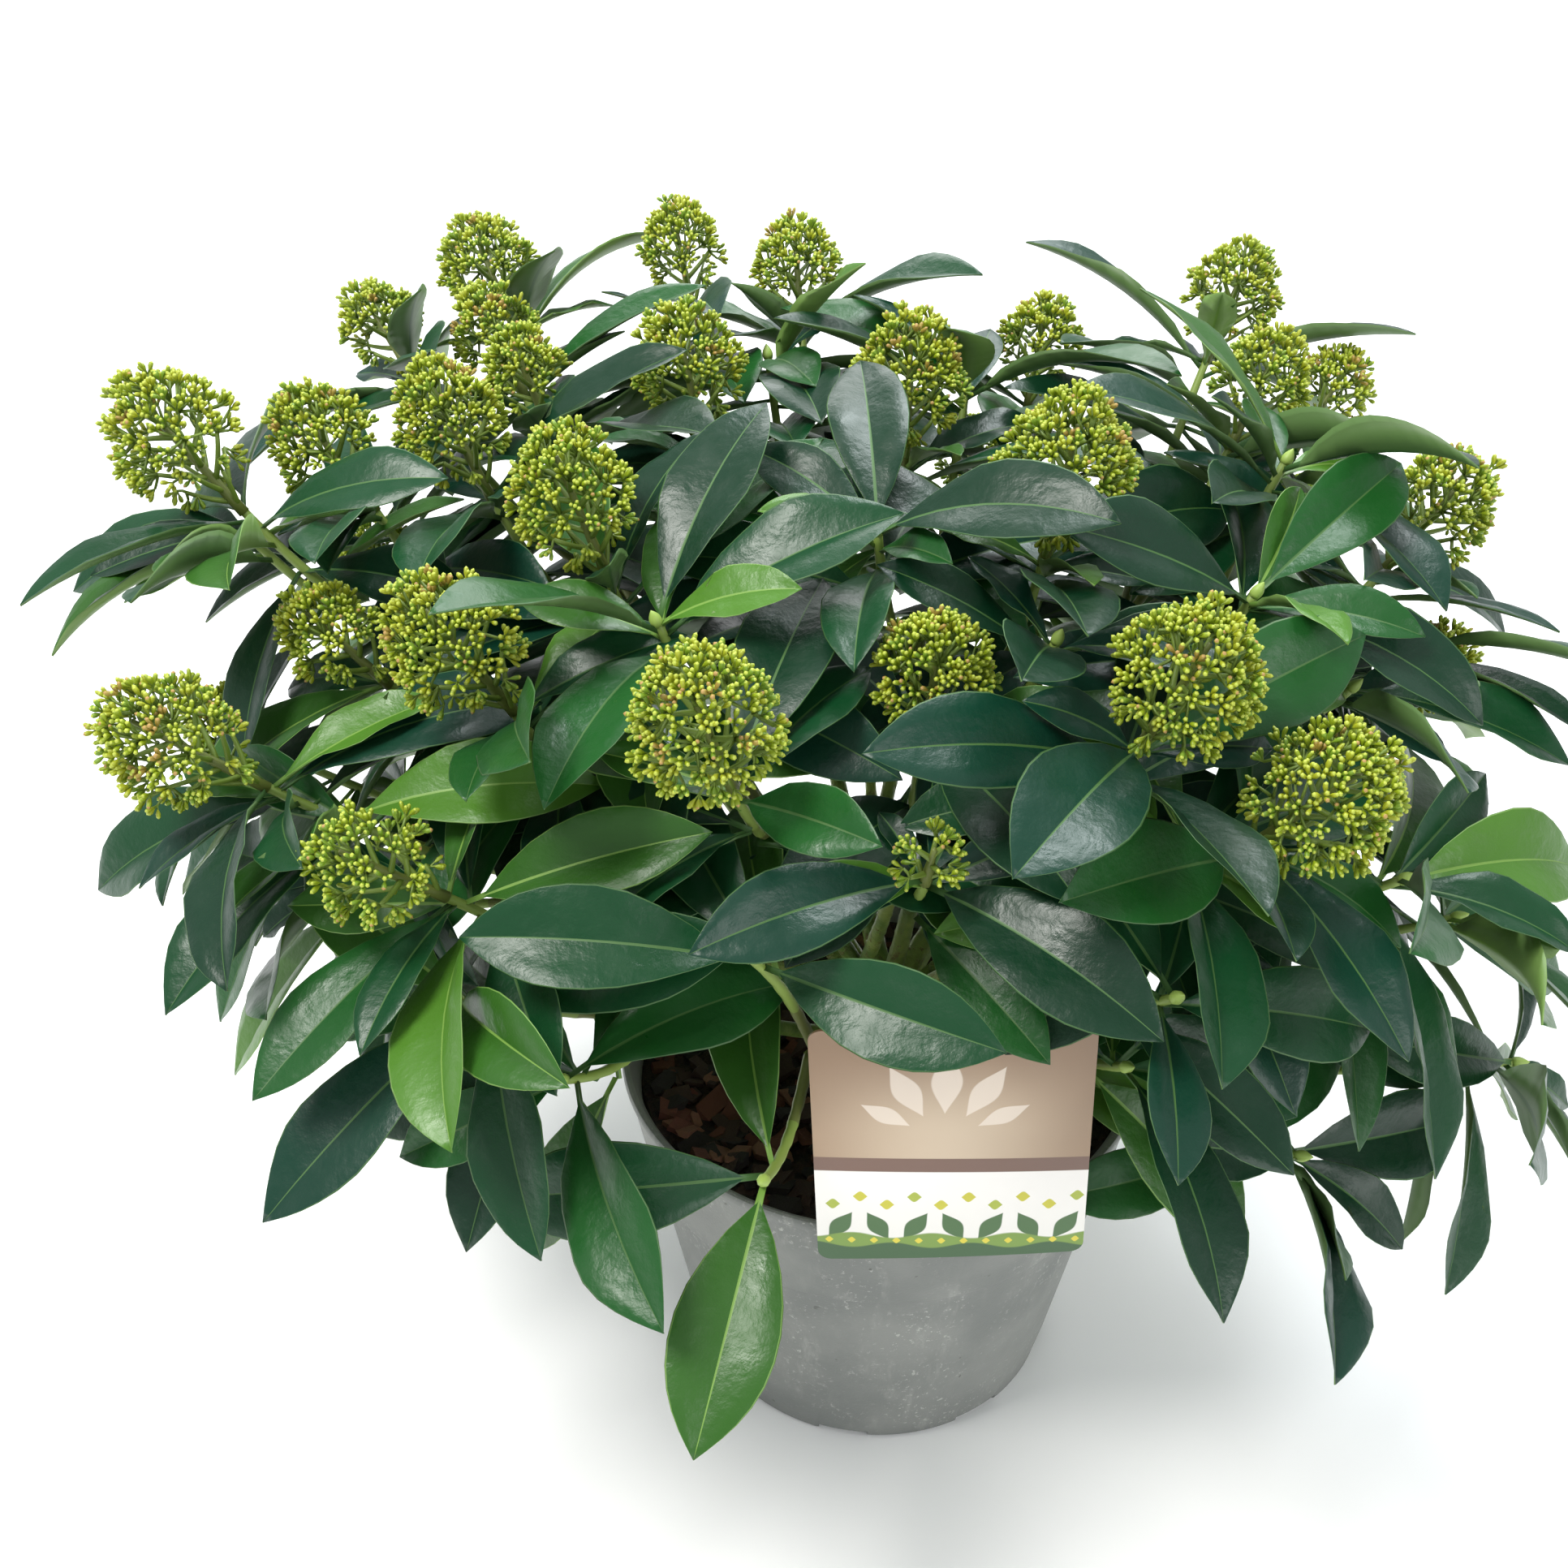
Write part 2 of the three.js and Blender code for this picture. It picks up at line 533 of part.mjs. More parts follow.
// Stems, twigs and heads come before any leaf, so that the leaves fill what room is left.
let number = 0;
for (const bough of BOUGHS) {
  const line = lines[bough.name];
  const tip = along(line.getPoint(1), line.getTangent(1), GAP);
  const target = middleOf(bough.frames.map((f) => f.tuft.clone()));
  const fork = tip.clone().lerp(target, TWIG.stemReach);
  const bend = along(tip, line.getTangent(1), tip.distanceTo(fork) / 2);
  const stem = new THREE.QuadraticBezierCurve3(tip, bend, fork);
  bough.parts = [limb(stem, () => BOUGH.tip, TWIG.stemSides, 2)];
  bough.plans = [];
  bough.shoots.forEach((shoot, i) => {
    const twig = twigSolid(stem, bough, i, bough.name);
    bough.plans.push(twig ? leafPlans(shoot, bough.frames[i], number) : []);
    number += 1;
    if (!twig) return;
    bough.parts.push(twig);
    if (!shoot[3]) return;
    const head = headSolid(bough.frames[i], shoot[3], dice(number));
    if (!touches(head, (s) => s.owner !== bough.name)) bough.parts.push(head);
  });
  for (const part of bough.parts) stand(part, bough.name);
}

// Leaves go on in turn, one to each shoot, and one that finds no room is left out.
const most = Math.max(...BOUGHS.flatMap((bough) => bough.plans.map((plans) => plans.length)));
for (let i = 0; i < most; i++) {
  for (const bough of BOUGHS) {
    for (const plans of bough.plans) {
      if (!plans[i]) continue;
      const place = plans[i].find((leaf) => {
        const whole = leafSolid(leaf, 0, 0.5);
        const blade = leafSolid(leaf, 0.16, 0.4);
        const hit = touches(whole, (s) => s.owner !== bough.name) ||
          touches(blade, (s) => s.owner === bough.name);
        whole.delete();
        blade.delete();
        return !hit;
      });
      if (!place) continue;
      const leaf = leafSolid(place);
      bough.parts.push(leaf);
      stand(leaf, bough.name);
    }
  }
}
for (const bough of BOUGHS) {
  add("foliage_" + bough.name, tidy(wasm.Manifold.union(bough.parts)), 0x2c5a32, 0.35);
}

export default skimmia;
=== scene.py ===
import math

import bpy
import numpy as np
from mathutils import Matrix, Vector
from mathutils.bvhtree import BVHTree
from mathutils.kdtree import KDTree


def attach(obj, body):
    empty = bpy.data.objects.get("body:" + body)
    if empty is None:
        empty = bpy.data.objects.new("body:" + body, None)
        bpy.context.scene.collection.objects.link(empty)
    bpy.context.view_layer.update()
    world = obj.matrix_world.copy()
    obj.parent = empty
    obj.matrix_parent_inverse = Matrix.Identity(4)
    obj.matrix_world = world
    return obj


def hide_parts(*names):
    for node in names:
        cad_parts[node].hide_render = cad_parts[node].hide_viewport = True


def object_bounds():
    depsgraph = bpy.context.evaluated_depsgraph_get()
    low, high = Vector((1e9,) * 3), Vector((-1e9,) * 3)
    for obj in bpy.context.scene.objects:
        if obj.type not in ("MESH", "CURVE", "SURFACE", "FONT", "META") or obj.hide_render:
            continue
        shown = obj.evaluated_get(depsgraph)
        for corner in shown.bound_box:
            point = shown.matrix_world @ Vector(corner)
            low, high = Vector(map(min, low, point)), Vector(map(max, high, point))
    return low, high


# A skimmia in bud, in a grey nursery pot with a plain printed card hooked on its rim.
# Metres, +Z up. The origin is the middle of the pot's flat underside, and -Y is the front.
# Limbs, twigs, leaves and heads grow by the same rule as the solids, and go on to finer forms.

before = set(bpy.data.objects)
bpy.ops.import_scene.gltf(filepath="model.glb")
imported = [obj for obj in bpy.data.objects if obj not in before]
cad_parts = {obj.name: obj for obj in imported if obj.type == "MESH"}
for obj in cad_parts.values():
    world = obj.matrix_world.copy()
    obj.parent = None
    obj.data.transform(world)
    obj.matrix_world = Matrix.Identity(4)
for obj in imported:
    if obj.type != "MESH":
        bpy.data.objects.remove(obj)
cad_low, cad_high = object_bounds()
bpy.ops.object.select_all(action="DESELECT")

# ---- Driving sizes ----

GAP = 0.0003  # between two solids that touch
POT = {"height": 0.160, "rim": 0.110, "base": 0.079, "wall": 0.003, "floor": 0.007, "bead": 0.0015,
       "sides": 120}
BAND = {"height": 0.050, "step": 0.0014, "round": 0.0012}  # the thicker collar below the rim
NOTCH = {"count": 8, "first": 0.75, "width": 0.022, "height": 0.005, "depth": 0.005, "round": 0.0015}
SOIL = {"top": 0.145, "foot": 0.004, "sides": 96, "rings": 22}
CHIP = {"count": 620, "length": 0.0135, "width": 0.0085, "thick": 0.0042, "clear": 0.004}
CARD = {"width": 0.100, "height": 0.118, "thick": 0.0009, "corner": 0.005, "middle": 0.022, "foot": 0.150,
        "turn": 2.5, "lean": 3.0, "bow": 0.0012, "strips": 16}
TONGUE = {"width": 0.026, "thick": 0.0008, "root": 0.186, "tip": 0.149, "inset": 0.0105, "strips": 14}

# The slanting spaces that leaves keep out of, so that the card and the soil beside it show from the front.
CARD_VIEW = {"depth": 0.130, "rise": 0.080, "before": 0.010, "slack": 0.005, "overlap": 0.014}
SOIL_VIEW = {"left": -0.105, "right": -0.030, "back": 0.050, "rise": 0.91, "slip": 0.045, "clear": 0.010,
             "edge": 0.006}

# Radii of the trunk, and how high the lobed flare at its foot goes, as a share of its height.
TRUNK = {"foot": 0.017, "waist": 0.0095, "top": 0.0075, "height": 0.046, "lean": (0.002, -0.004), "lobes": 5,
         "lobe": 0.16, "flare": 0.35}
BOUGH = {"tip": 0.0025, "reach": 0.5, "arch": 0.13, "flatten": 1.6}  # a steep one arches less
# A stem goes on from the bough. Twigs leave its last part, and come straight into their tufts.
TWIG = {"root": 0.0023, "tip": 0.0017, "stem_reach": 0.3, "spread": 0.4, "straight": 0.4, "bud": 0.005}
BOWS = (0, 0.1, -0.1, 0.2, -0.2, 0.3, -0.3)  # sideways bends that a twig may take
HEAD = {"seat": 0.63, "wide": 0.47, "tall": 0.61, "sink": 0.2}  # by the head's width
FULL_HEAD = 0.054  # a head this wide has all its branches and cymes
# A leaf's length, its share of that by its place in the tuft, its width by its length, and its fold and
# droop in degrees. It rises at most "rise" above level, or more where it starts higher than the shoulder.
# The solid leaf has its corners at the stations.
LEAF = {"length": 0.094, "least": 0.84, "more": 0.2, "slim": 0.37, "fold": 13.0, "droop": 38.0, "rise": 32.0,
        "shoulder": 0.335, "per_up": 550.0, "stations": (0.3, 0.72)}
HANG = {"per_up": 0.9, "least": 0.2, "droop": 6.0}  # a leaf that points down droops less
TURN = 137.5  # degrees from each leaf to the next one down the shoot
LEAN = {"per_out": 136.0, "low": 55.0, "rise": 0.280, "most": 80.0}  # outer and low shoots lean more
# How many leaves a tuft has, how far above its place the first one sits, and how far below that the last.
UNDER_HEAD = {"leaves": 7, "top": 0.002, "run": 0.026}
LEAFY = {"leaves": 8, "top": 0.003, "run": 0.020}
OPEN = {"top": 48.0, "more": 44.0}  # degrees between leaf and shoot at the tuft's top, and more below
STRAY = {"turn": 14, "open": 9, "size": 0.07, "droop": (0.55, 1.35), "roll": 16}  # from leaf to leaf
FINER = {"leaves": 6, "length": 0.080, "deep": 0.030, "standing": 0.385}  # leaves that fill in on each shoot
FINER_STRAY = {"turn": 20, "droop": (0.5, 1.3), "roll": 18}
INNER = {"open": (38, 62), "length": (0.55, 0.9), "depth": (0.0, 0.3)}  # small ones at the tuft's top
OLDER = {"open": (80, 112), "length": (0.95, 1.2), "depth": (0.8, 1.25)}  # older ones further down the twig
LOW_SHOOT = 0.33  # shoots below this height are low

# A shoot is (bearing, out, up, bloom): degrees from the front towards +X, distance from the pot's axis,
# height, and the width of its flower head, or 0 for a leafy shoot. A fifth number turns its first leaf
# from straight out, and a sixth is how many leaves it has. A bough has its name, what it leaves and how
# far along that, its radius and its shoots.
BOUGHS = [
    ("left", "trunk", 0.7, 0.0046, [(-71, 0.160, 0.378, 0.054), (-85, 0.202, 0.363, 0.042),
     (-75, 0.255, 0.348, 0.054), (-73, 0.203, 0.312, 0), (-84, 0.214, 0.258, 0)]),
    ("right", "trunk", 0.62, 0.0046, [(104, 0.216, 0.380, 0.050), (98, 0.205, 0.335, 0),
     (87, 0.167, 0.335, 0), (81, 0.125, 0.379, 0), (111, 0.160, 0.396, 0)]),
    ("front", "trunk", 0.8, 0.004, [(-30, 0.130, 0.383, 0.056), (-65, 0.092, 0.378, 0)]),
    ("front_right", "trunk", 0.72, 0.0044, [(41, 0.129, 0.390, 0.056), (50, 0.170, 0.354, 0.056),
     (46, 0.133, 0.322, 0)]),
    ("back_left", "trunk", 0.78, 0.0048, [(-142, 0.280, 0.420, 0.050), (-133, 0.302, 0.400, 0.042),
     (-135, 0.229, 0.411, 0.044), (-128, 0.183, 0.411, 0.040)]),
    ("back_right", "trunk", 0.8, 0.0048, [(144, 0.276, 0.407, 0.050), (132, 0.269, 0.377, 0.044),
     (130, 0.204, 0.401, 0.046)]),
    ("back", "trunk", 0.95, 0.0046, [(-160, 0.257, 0.422, 0.046), (-171, 0.223, 0.420, 0.046),
     (-144, 0.135, 0.414, 0.052), (-164, 0.172, 0.398, 0)]),
    ("centre", "trunk", 1.0, 0.004, [(85, 0.057, 0.420, 0.056), (-40, 0.012, 0.398, 0),
     (52, 0.066, 0.372, 0)]),
    ("centre_front", "front", 0.3, 0.0032, [(8, 0.066, 0.374, 0.048), (3, 0.119, 0.337, 0.030)]),
    ("centre_back", "back", 0.3, 0.0034, [(175, 0.093, 0.416, 0.052), (160, 0.215, 0.392, 0.044),
     (166, 0.146, 0.392, 0)]),
    ("upper_left", "back_left", 0.35, 0.0034, [(-87, 0.114, 0.411, 0.052), (-111, 0.179, 0.410, 0.050)]),
    ("far_left", "left", 0.3, 0.0036, [(-98, 0.266, 0.415, 0.054), (-106, 0.224, 0.403, 0.048),
     (-99, 0.243, 0.372, 0)]),
    ("low_left", "trunk", 0.3, 0.0036, [(-53, 0.187, 0.274, 0), (-43, 0.168, 0.248, 0),
     (-58, 0.205, 0.327, 0.048)]),
    ("low_front", "trunk", 0.42, 0.0034, [(-18, 0.151, 0.222, 0, 0), (-21, 0.142, 0.308, 0, 150, 4)]),
    ("low_front_right", "trunk", 0.4, 0.0034, [(35, 0.134, 0.242, 0, 345, 5),
     (30, 0.165, 0.300, 0, 154, 4)]),
    ("low_right", "trunk", 0.24, 0.0036, [(57, 0.177, 0.187, 0), (81, 0.252, 0.182, 0)]),
    ("outer_right", "right", 0.25, 0.0034, [(67, 0.189, 0.296, 0), (80, 0.215, 0.252, 0)]),
]
# The low boughs behind, from one bearing to the other. The first of them reaches less far out.
SKIRT = {"first": 112.0, "last": 248.0, "count": 5, "out": 0.272, "narrow": 0.228, "forks": (0.3, 0.46),
         "radius": 0.0034}
# Of each shoot on such a bough: how far it turns from the bough, how much further out, height and bloom.
SKIRT_SHOOTS = ((-11, -0.010, 0.316, 0.042), (12, 0.0, 0.286, 0.040), (0, -0.047, 0.232, 0))
LOOSE_HEADS = {41: 0.42, 30: 0.35}  # numbers of the shoots with young open heads, and how open they are

# Where the random draws for each thing start.
SEED = {"leaves": 977, "finer": 4409, "looks": 3001, "twigs": 6007, "heads": 8111, "ridges": 71,
        "chips": 515}


def back_skirt():
    """The low boughs behind, spread evenly from one side to the other."""
    rows = []
    for i in range(SKIRT["count"]):
        bearing = SKIRT["first"] + (SKIRT["last"] - SKIRT["first"]) * i / (SKIRT["count"] - 1)
        out = SKIRT["out"] if i else SKIRT["narrow"]
        shoots = [(bearing + turn, out + more, up, bloom) for turn, more, up, bloom in SKIRT_SHOOTS]
        rows.append((f"skirt_{i + 1}", "trunk", SKIRT["forks"][i % 2], SKIRT["radius"], shoots))
    return rows


# ---- Camera, floor and light ----

CAMERA = {"place": (-0.041, -0.609, 0.684), "pitch": 32.9, "focal": 2300.0, "frame": 1932.0, "sensor": 36.0}
ROOM = {"colour": (0.93, 0.97, 1.0, 1.0), "strength": 0.60}
FLOOR = {"size": 12.0, "tone": (246, 246, 246), "roughness": 0.9}
LAMPS = {  # where each hangs, what it faces, its size, watts and colour
    "key": ((-0.9, -0.5, 1.9), (0.0, 0.0, 0.25), 0.8, 38.0, (1.0, 0.98, 0.94)),
    "top": ((0.5, 0.9, 2.1), (0.0, 0.0, 0.3), 0.9, 32.0, (0.92, 0.97, 1.0)),
    "fill": ((1.3, -1.6, 0.9), (0.0, 0.0, 0.15), 1.4, 17.0, (1.0, 1.0, 1.0)),
    "far_floor": ((0.0, 3.6, 2.4), (0.0, 3.4, 0.0), 3.0, 110.0, (0.99, 0.99, 1.0)),
}


def make_camera():
    """The eye stands before the plant and looks down on it. Focal length and frame are in pixels."""
    data = bpy.data.cameras.new("eye")
    data.sensor_width = CAMERA["sensor"]
    data.lens = CAMERA["sensor"] * CAMERA["focal"] / CAMERA["frame"]
    eye = bpy.data.objects.new("eye", data)
    eye.location = CAMERA["place"]
    eye.rotation_euler = (math.radians(90.0 - CAMERA["pitch"]), 0.0, 0.0)
    bpy.context.scene.collection.objects.link(eye)
    bpy.context.scene.camera = eye


def hang_lamp(name, place, target, size, watts, colour):
    data = bpy.data.lights.new(name, "AREA")
    data.shape = "DISK"
    data.size = size
    data.energy = watts
    data.color = colour
    lamp = bpy.data.objects.new(name, data)
    lamp.location = place
    way = Vector([a - b for a, b in zip(target, place)])
    lamp.rotation_euler = way.to_track_quat("-Z", "Y").to_euler()
    bpy.context.scene.collection.objects.link(lamp)


def make_studio():
    """Soft white light from above and the left, a pale room and a pale floor."""
    world = bpy.data.worlds.new("pale_room")
    world.use_nodes = True
    sky = world.node_tree.nodes["Background"]
    sky.inputs["Color"].default_value = ROOM["colour"]
    sky.inputs["Strength"].default_value = ROOM["strength"]
    bpy.context.scene.world = world
    bpy.context.scene.view_settings.view_transform = "Standard"
    for name, lamp in LAMPS.items():
        hang_lamp(name, *lamp)
    bpy.ops.mesh.primitive_plane_add(size=FLOOR["size"], location=(0.0, 0.0, 0.0))
    floor = bpy.context.object
    floor.name = "floor"
    floor.data.materials.append(Finish("pale_floor", FLOOR["tone"], FLOOR["roughness"]).material)


# ---- Finishes ----


def linear(red, green, blue):
    """A colour as it is seen, from 0 to 255, as light."""
    parts = [c / 255.0 for c in (red, green, blue)]
    return tuple(p / 12.92 if p <= 0.04045 else ((p + 0.055) / 1.055) ** 2.4 for p in parts)


class Number:
    """A number that varies over a surface. Sums on it add Math nodes."""

    def __init__(self, finish, socket):
        self.finish = finish
        self.socket = socket

    def joined(self, operation, first, second=0.0):
        node = self.finish.node("Math", {"operation": operation}, {0: first, 1: second})
        return Number(self.finish, node.outputs[0])

    def __add__(self, other):
        return self.joined("ADD", self, other)

    __radd__ = __add__

    def __sub__(self, other):
        return self.joined("SUBTRACT", self, other)

    def __rsub__(self, other):
        return self.joined("SUBTRACT", other, self)

    def __mul__(self, other):
        return self.joined("MULTIPLY", self, other)

    __rmul__ = __mul__

    def __truediv__(self, other):
        return self.joined("DIVIDE", self, other)

    def __abs__(self):
        return self.joined("ABSOLUTE", self)

    def wave(self):
        return self.joined("SINE", self)

    def between(self, low, high):
        """0 below low, 1 above high and a smooth step from one to the other."""
        ends = {"Value": self, "From Min": low, "From Max": high, "To Min": 0.0, "To Max": 1.0}
        node = self.finish.node("MapRange", {"interpolation_type": "SMOOTHSTEP"}, ends)
        return Number(self.finish, node.outputs["Result"])


ALIKE = (1.0, 1.0, 1.0)  # no stretch
MIX_FIRST, MIX_SECOND, MIX_RESULT = 6, 7, 2  # a Mix node's colour sockets


class Finish:
    """One material: a Principled shader, and whatever nodes drive it."""

    def __init__(self, name, tone, roughness, **plain):
        self.material = bpy.data.materials.new(name)
        self.material.use_nodes = True
        self.tree = self.material.node_tree
        self.shader = self.tree.nodes["Principled BSDF"]
        self.shader.inputs["Base Color"].default_value = (*linear(*tone), 1.0)
        self.shader.inputs["Roughness"].default_value = roughness
        for socket, value in plain.items():
            self.shader.inputs[socket.replace("_", " ")].default_value = value

    def node(self, kind, settings, inputs):
        """Any node: its settings first, and then values for or links to its sockets."""
        made = self.tree.nodes.new("ShaderNode" + kind)
        for name, value in settings.items():
            setattr(made, name, value)
        for name, value in inputs.items():
            self.feed(made.inputs[name], value)
        return made

    def feed(self, socket, value):
        if isinstance(value, Number):
            value = value.socket
        if isinstance(value, bpy.types.NodeSocket):
            self.tree.links.new(value, socket)
        else:
            socket.default_value = value

    def drive(self, socket, value):
        self.feed(self.shader.inputs[socket], value)

    def place(self, stretch=ALIKE):
        """Where a point is on the piece, in metres, with each way stretched."""
        spot = self.node("TexCoord", {}, {}).outputs["Object"]
        if stretch == ALIKE:
            return spot
        return self.node("Mapping", {}, {"Vector": spot, "Scale": stretch}).outputs["Vector"]

    def noise(self, size, detail=3.0, roughness=0.55, stretch=ALIKE):
        """Soft noise from 0 to 1, with lumps of about this size."""
        inputs = {"Vector": self.place(stretch), "Scale": 1.0 / size, "Detail": detail}
        made = self.node("TexNoise", {}, {**inputs, "Roughness": roughness})
        return Number(self, made.outputs["Fac"])

    def blend(self, share, first, second):
        """A colour between two, each given as seen or as a link."""
        made = self.node("Mix", {"data_type": "RGBA"}, {0: share})
        for socket, colour in ((MIX_FIRST, first), (MIX_SECOND, second)):
            plain = isinstance(colour, tuple)
            self.feed(made.inputs[socket], (*linear(*colour), 1.0) if plain else colour)
        return made.outputs[MIX_RESULT]

    def bumps(self, height, depth):
        made = self.node("Bump", {}, {"Height": height, "Distance": depth, "Strength": 1.0})
        self.drive("Normal", made.outputs["Normal"])


def plain_finishes(tones, roughness, prefix=""):
    """A finish of one colour for each tone, in their order."""
    return [Finish(prefix + name, tone, roughness).material for name, tone in tones.items()]


def pot_finish():
    """Grey moulded plastic, chalky with dried splashes, and darker in its dents."""
    f = Finish("grey_pot_plastic", (128, 131, 130), 0.6)
    cloud = f.noise(0.050, 4.0)
    streaks = f.noise(0.0075, 7.0, 0.7, (1.0, 1.0, 0.22)).between(0.50, 0.74)
    patches = f.noise(0.030, 3.0).between(0.40, 0.66)
    specks = f.noise(0.0024, 3.0, 0.7).between(0.58, 0.68)
    dirt = f.noise(0.006, 2.0, 0.5).between(0.735, 0.78)
    base = f.blend(cloud.between(0.3, 0.7), (110, 113, 110), (128, 130, 126))
    dusty = f.blend(streaks * (0.16 + 0.42 * patches), base, (170, 171, 165))
    specked = f.blend(specks * patches * 0.7, dusty, (184, 185, 178))
    f.drive("Base Color", f.blend(dirt * 0.7, specked, (70, 72, 66)))
    f.drive("Roughness", 0.52 + 0.2 * streaks + 0.1 * cloud)
    f.bumps(f.noise(0.0011, 2.0) + 0.5 * specks, 0.00012)
    return f.material


def soil_finish():
    """Damp dark peat."""
    f = Finish("dark_peat", (40, 29, 25), 0.9)
    lumps = f.noise(0.007, 5.0, 0.7)
    f.drive("Base Color", f.blend(lumps.between(0.35, 0.7), (22, 17, 16), (66, 45, 36)))
    f.bumps(lumps, 0.004)
    return f.material


def chip_finishes():
    """Composted bark, from nearly black to red-brown."""
    tones = {"black": (34, 26, 25), "umber": (62, 42, 36), "russet": (96, 54, 42), "tan": (124, 84, 66)}
    made = []
    for name, tone in tones.items():
        f = Finish("bark_chip_" + name, tone, 0.8)
        f.bumps(f.noise(0.0016, 4.0, 0.7), 0.0007)
        made.append(f.material)
    return made


def bark_finish():
    """The grey-brown bark of the short trunk, green between its cracks."""
    f = Finish("trunk_bark", (96, 88, 58), 0.85)
    grain = f.noise(0.005, 6.0, 0.65, (1.0, 1.0, 0.35))
    patches = f.noise(0.012, 3.0).between(0.42, 0.62)
    brown = f.blend(grain.between(0.3, 0.7), (70, 56, 42), (128, 112, 82))
    f.drive("Base Color", f.blend(patches * 0.6, brown, (104, 116, 60)))
    f.bumps(grain, 0.0014)
    return f.material


def green_stem_finish():
    """Green young wood with brown corky flecks."""
    f = Finish("green_stem", (112, 132, 62), 0.5)
    cloud = f.noise(0.018, 3.0).between(0.35, 0.65)
    corky = f.noise(0.0035, 4.0, 0.7, (1.0, 1.0, 0.6)).between(0.56, 0.68)
    green = f.blend(cloud, (92, 118, 52), (138, 154, 78))
    f.drive("Base Color", f.blend(corky * 0.7, green, (118, 96, 62)))
    f.drive("Roughness", 0.45 + 0.25 * corky)
    f.bumps(f.noise(0.0016, 3.0) + corky, 0.00035)
    return f.material


LEAF_TONES = {"deep": (6, 46, 26), "blue_green": (9, 52, 37), "dark": (10, 60, 30), "mid": (22, 76, 28),
              "warm": (44, 88, 26), "young": (70, 114, 34)}
LEAF_PART_TONES = {"rib_old": (62, 98, 48), "rib_young": (108, 144, 62), "margin_old": (58, 94, 48),
                   "margin_young": (104, 140, 66), "under_old": (86, 116, 64), "under_young": (112, 144, 74)}


def leaf_finishes():
    """Six greens for the blade, then rib, margin and underside of an old and of a young leaf."""
    made = []
    for name, tone in LEAF_TONES.items():
        f = Finish("leaf_" + name, tone, 0.34, Specular_IOR_Level=0.4)
        f.drive("Roughness", 0.19 + 0.34 * f.noise(0.010, 4.0))
        f.bumps(f.noise(0.006, 4.0, 0.55), 0.0005)
        made.append(f.material)
    return made + plain_finishes(LEAF_PART_TONES, 0.5, "leaf_")


TWIG_TONES = {"twig_green": (124, 146, 66), "twig_olive": (104, 112, 56), "leaf_bud": (150, 176, 84)}
TWIG_GREEN, TWIG_OLIVE, LEAF_BUD = range(3)
BUD_TONES = {"lime": (134, 152, 24), "yellow": (152, 160, 32), "green": (114, 144, 34),
             "blush": (150, 130, 54)}
HEAD_TONES = {"tip_pale": (172, 184, 66), "tip_pink": (168, 136, 76), "pedicel": (110, 132, 42),
              "head_branch": (104, 126, 44), "head_rachis": (98, 108, 46)}
LIME, YELLOW, GREEN, BLUSH, PALE, PINK, PEDICEL, BRANCH, RACHIS = range(9)


def blossom_finishes():
    """Four bud tones, two for the buds' tips, and the green of pedicels, branches and rachis."""
    return plain_finishes(BUD_TONES, 0.45, "bud_") + plain_finishes(HEAD_TONES, 0.5)


# ---- Small tools ----

UP = np.array((0.0, 0.0, 1.0))
RIGHT = np.array((1.0, 0.0, 0.0))


def unit(v):
    return v / np.linalg.norm(v)


def swung(first, second, angle):
    """first turned towards second by an angle in radians."""
    return first * math.cos(angle) + second * math.sin(angle)


def outward(bearing):
    b = math.radians(bearing)
    return np.array((math.sin(b), -math.cos(b), 0.0))


def dice(seed):
    """A seeded run of numbers."""
    state = seed

    def draw():
        nonlocal state
        state = (state * 1664525 + 1013904223) % 2 ** 32
        return state / 2 ** 32

    for _ in range(3):
        draw()
    return lambda low, high: low + (high - low) * draw()


class Bend:
    """A Bezier curve."""

    def __init__(self, *points):
        self.points = [np.asarray(p, float) for p in points]

    @staticmethod
    def worked(row, t):
        while len(row) > 1:
            row = [a + (b - a) * t for a, b in zip(row, row[1:])]
        return row[0]

    def point(self, t):
        return self.worked(self.points, t)

    def heading(self, t):
        return unit(self.worked([b - a for a, b in zip(self.points, self.points[1:])], t))


def far_axis(way):
    """An axis that isn't near this direction."""
    return UP if abs(way[2]) < 0.9 else RIGHT


def spokes(angles, across, over):
    """Directions at these angles from one way towards another."""
    return np.cos(angles)[:, None] * across + np.sin(angles)[:, None] * over


def around(sides):
    return 2.0 * np.pi * np.arange(sides) / sides


def tube(curve, radius_at, sides, steps):
    """Corners and faces of a closed round limb along a curve."""
    angles = around(sides)
    across = far_axis(curve.heading(0.0))
    rings = []
    for i in range(steps + 1):
        t = i / steps
        ahead = curve.heading(t)
        across = unit(across - ahead * across.dot(ahead))
        radius = (radius_at(t, angles) * np.ones(sides))[:, None]
        rings.append(curve.point(t) + radius * spokes(angles, across, np.cross(ahead, across)))
    last = steps * sides
    ends = [tuple(range(sides))[::-1], tuple(last + j for j in range(sides))]
    return np.concatenate(rings), ring_faces(sides, steps) + ends


def ring_faces(sides, steps):
    """Faces between rings of corners that follow each other."""
    faces = []
    for i in range(steps):
        for j in range(sides):
            a, b = i * sides + j, i * sides + (j + 1) % sides
            faces.append((a, b, b + sides, a + sides))
    return faces


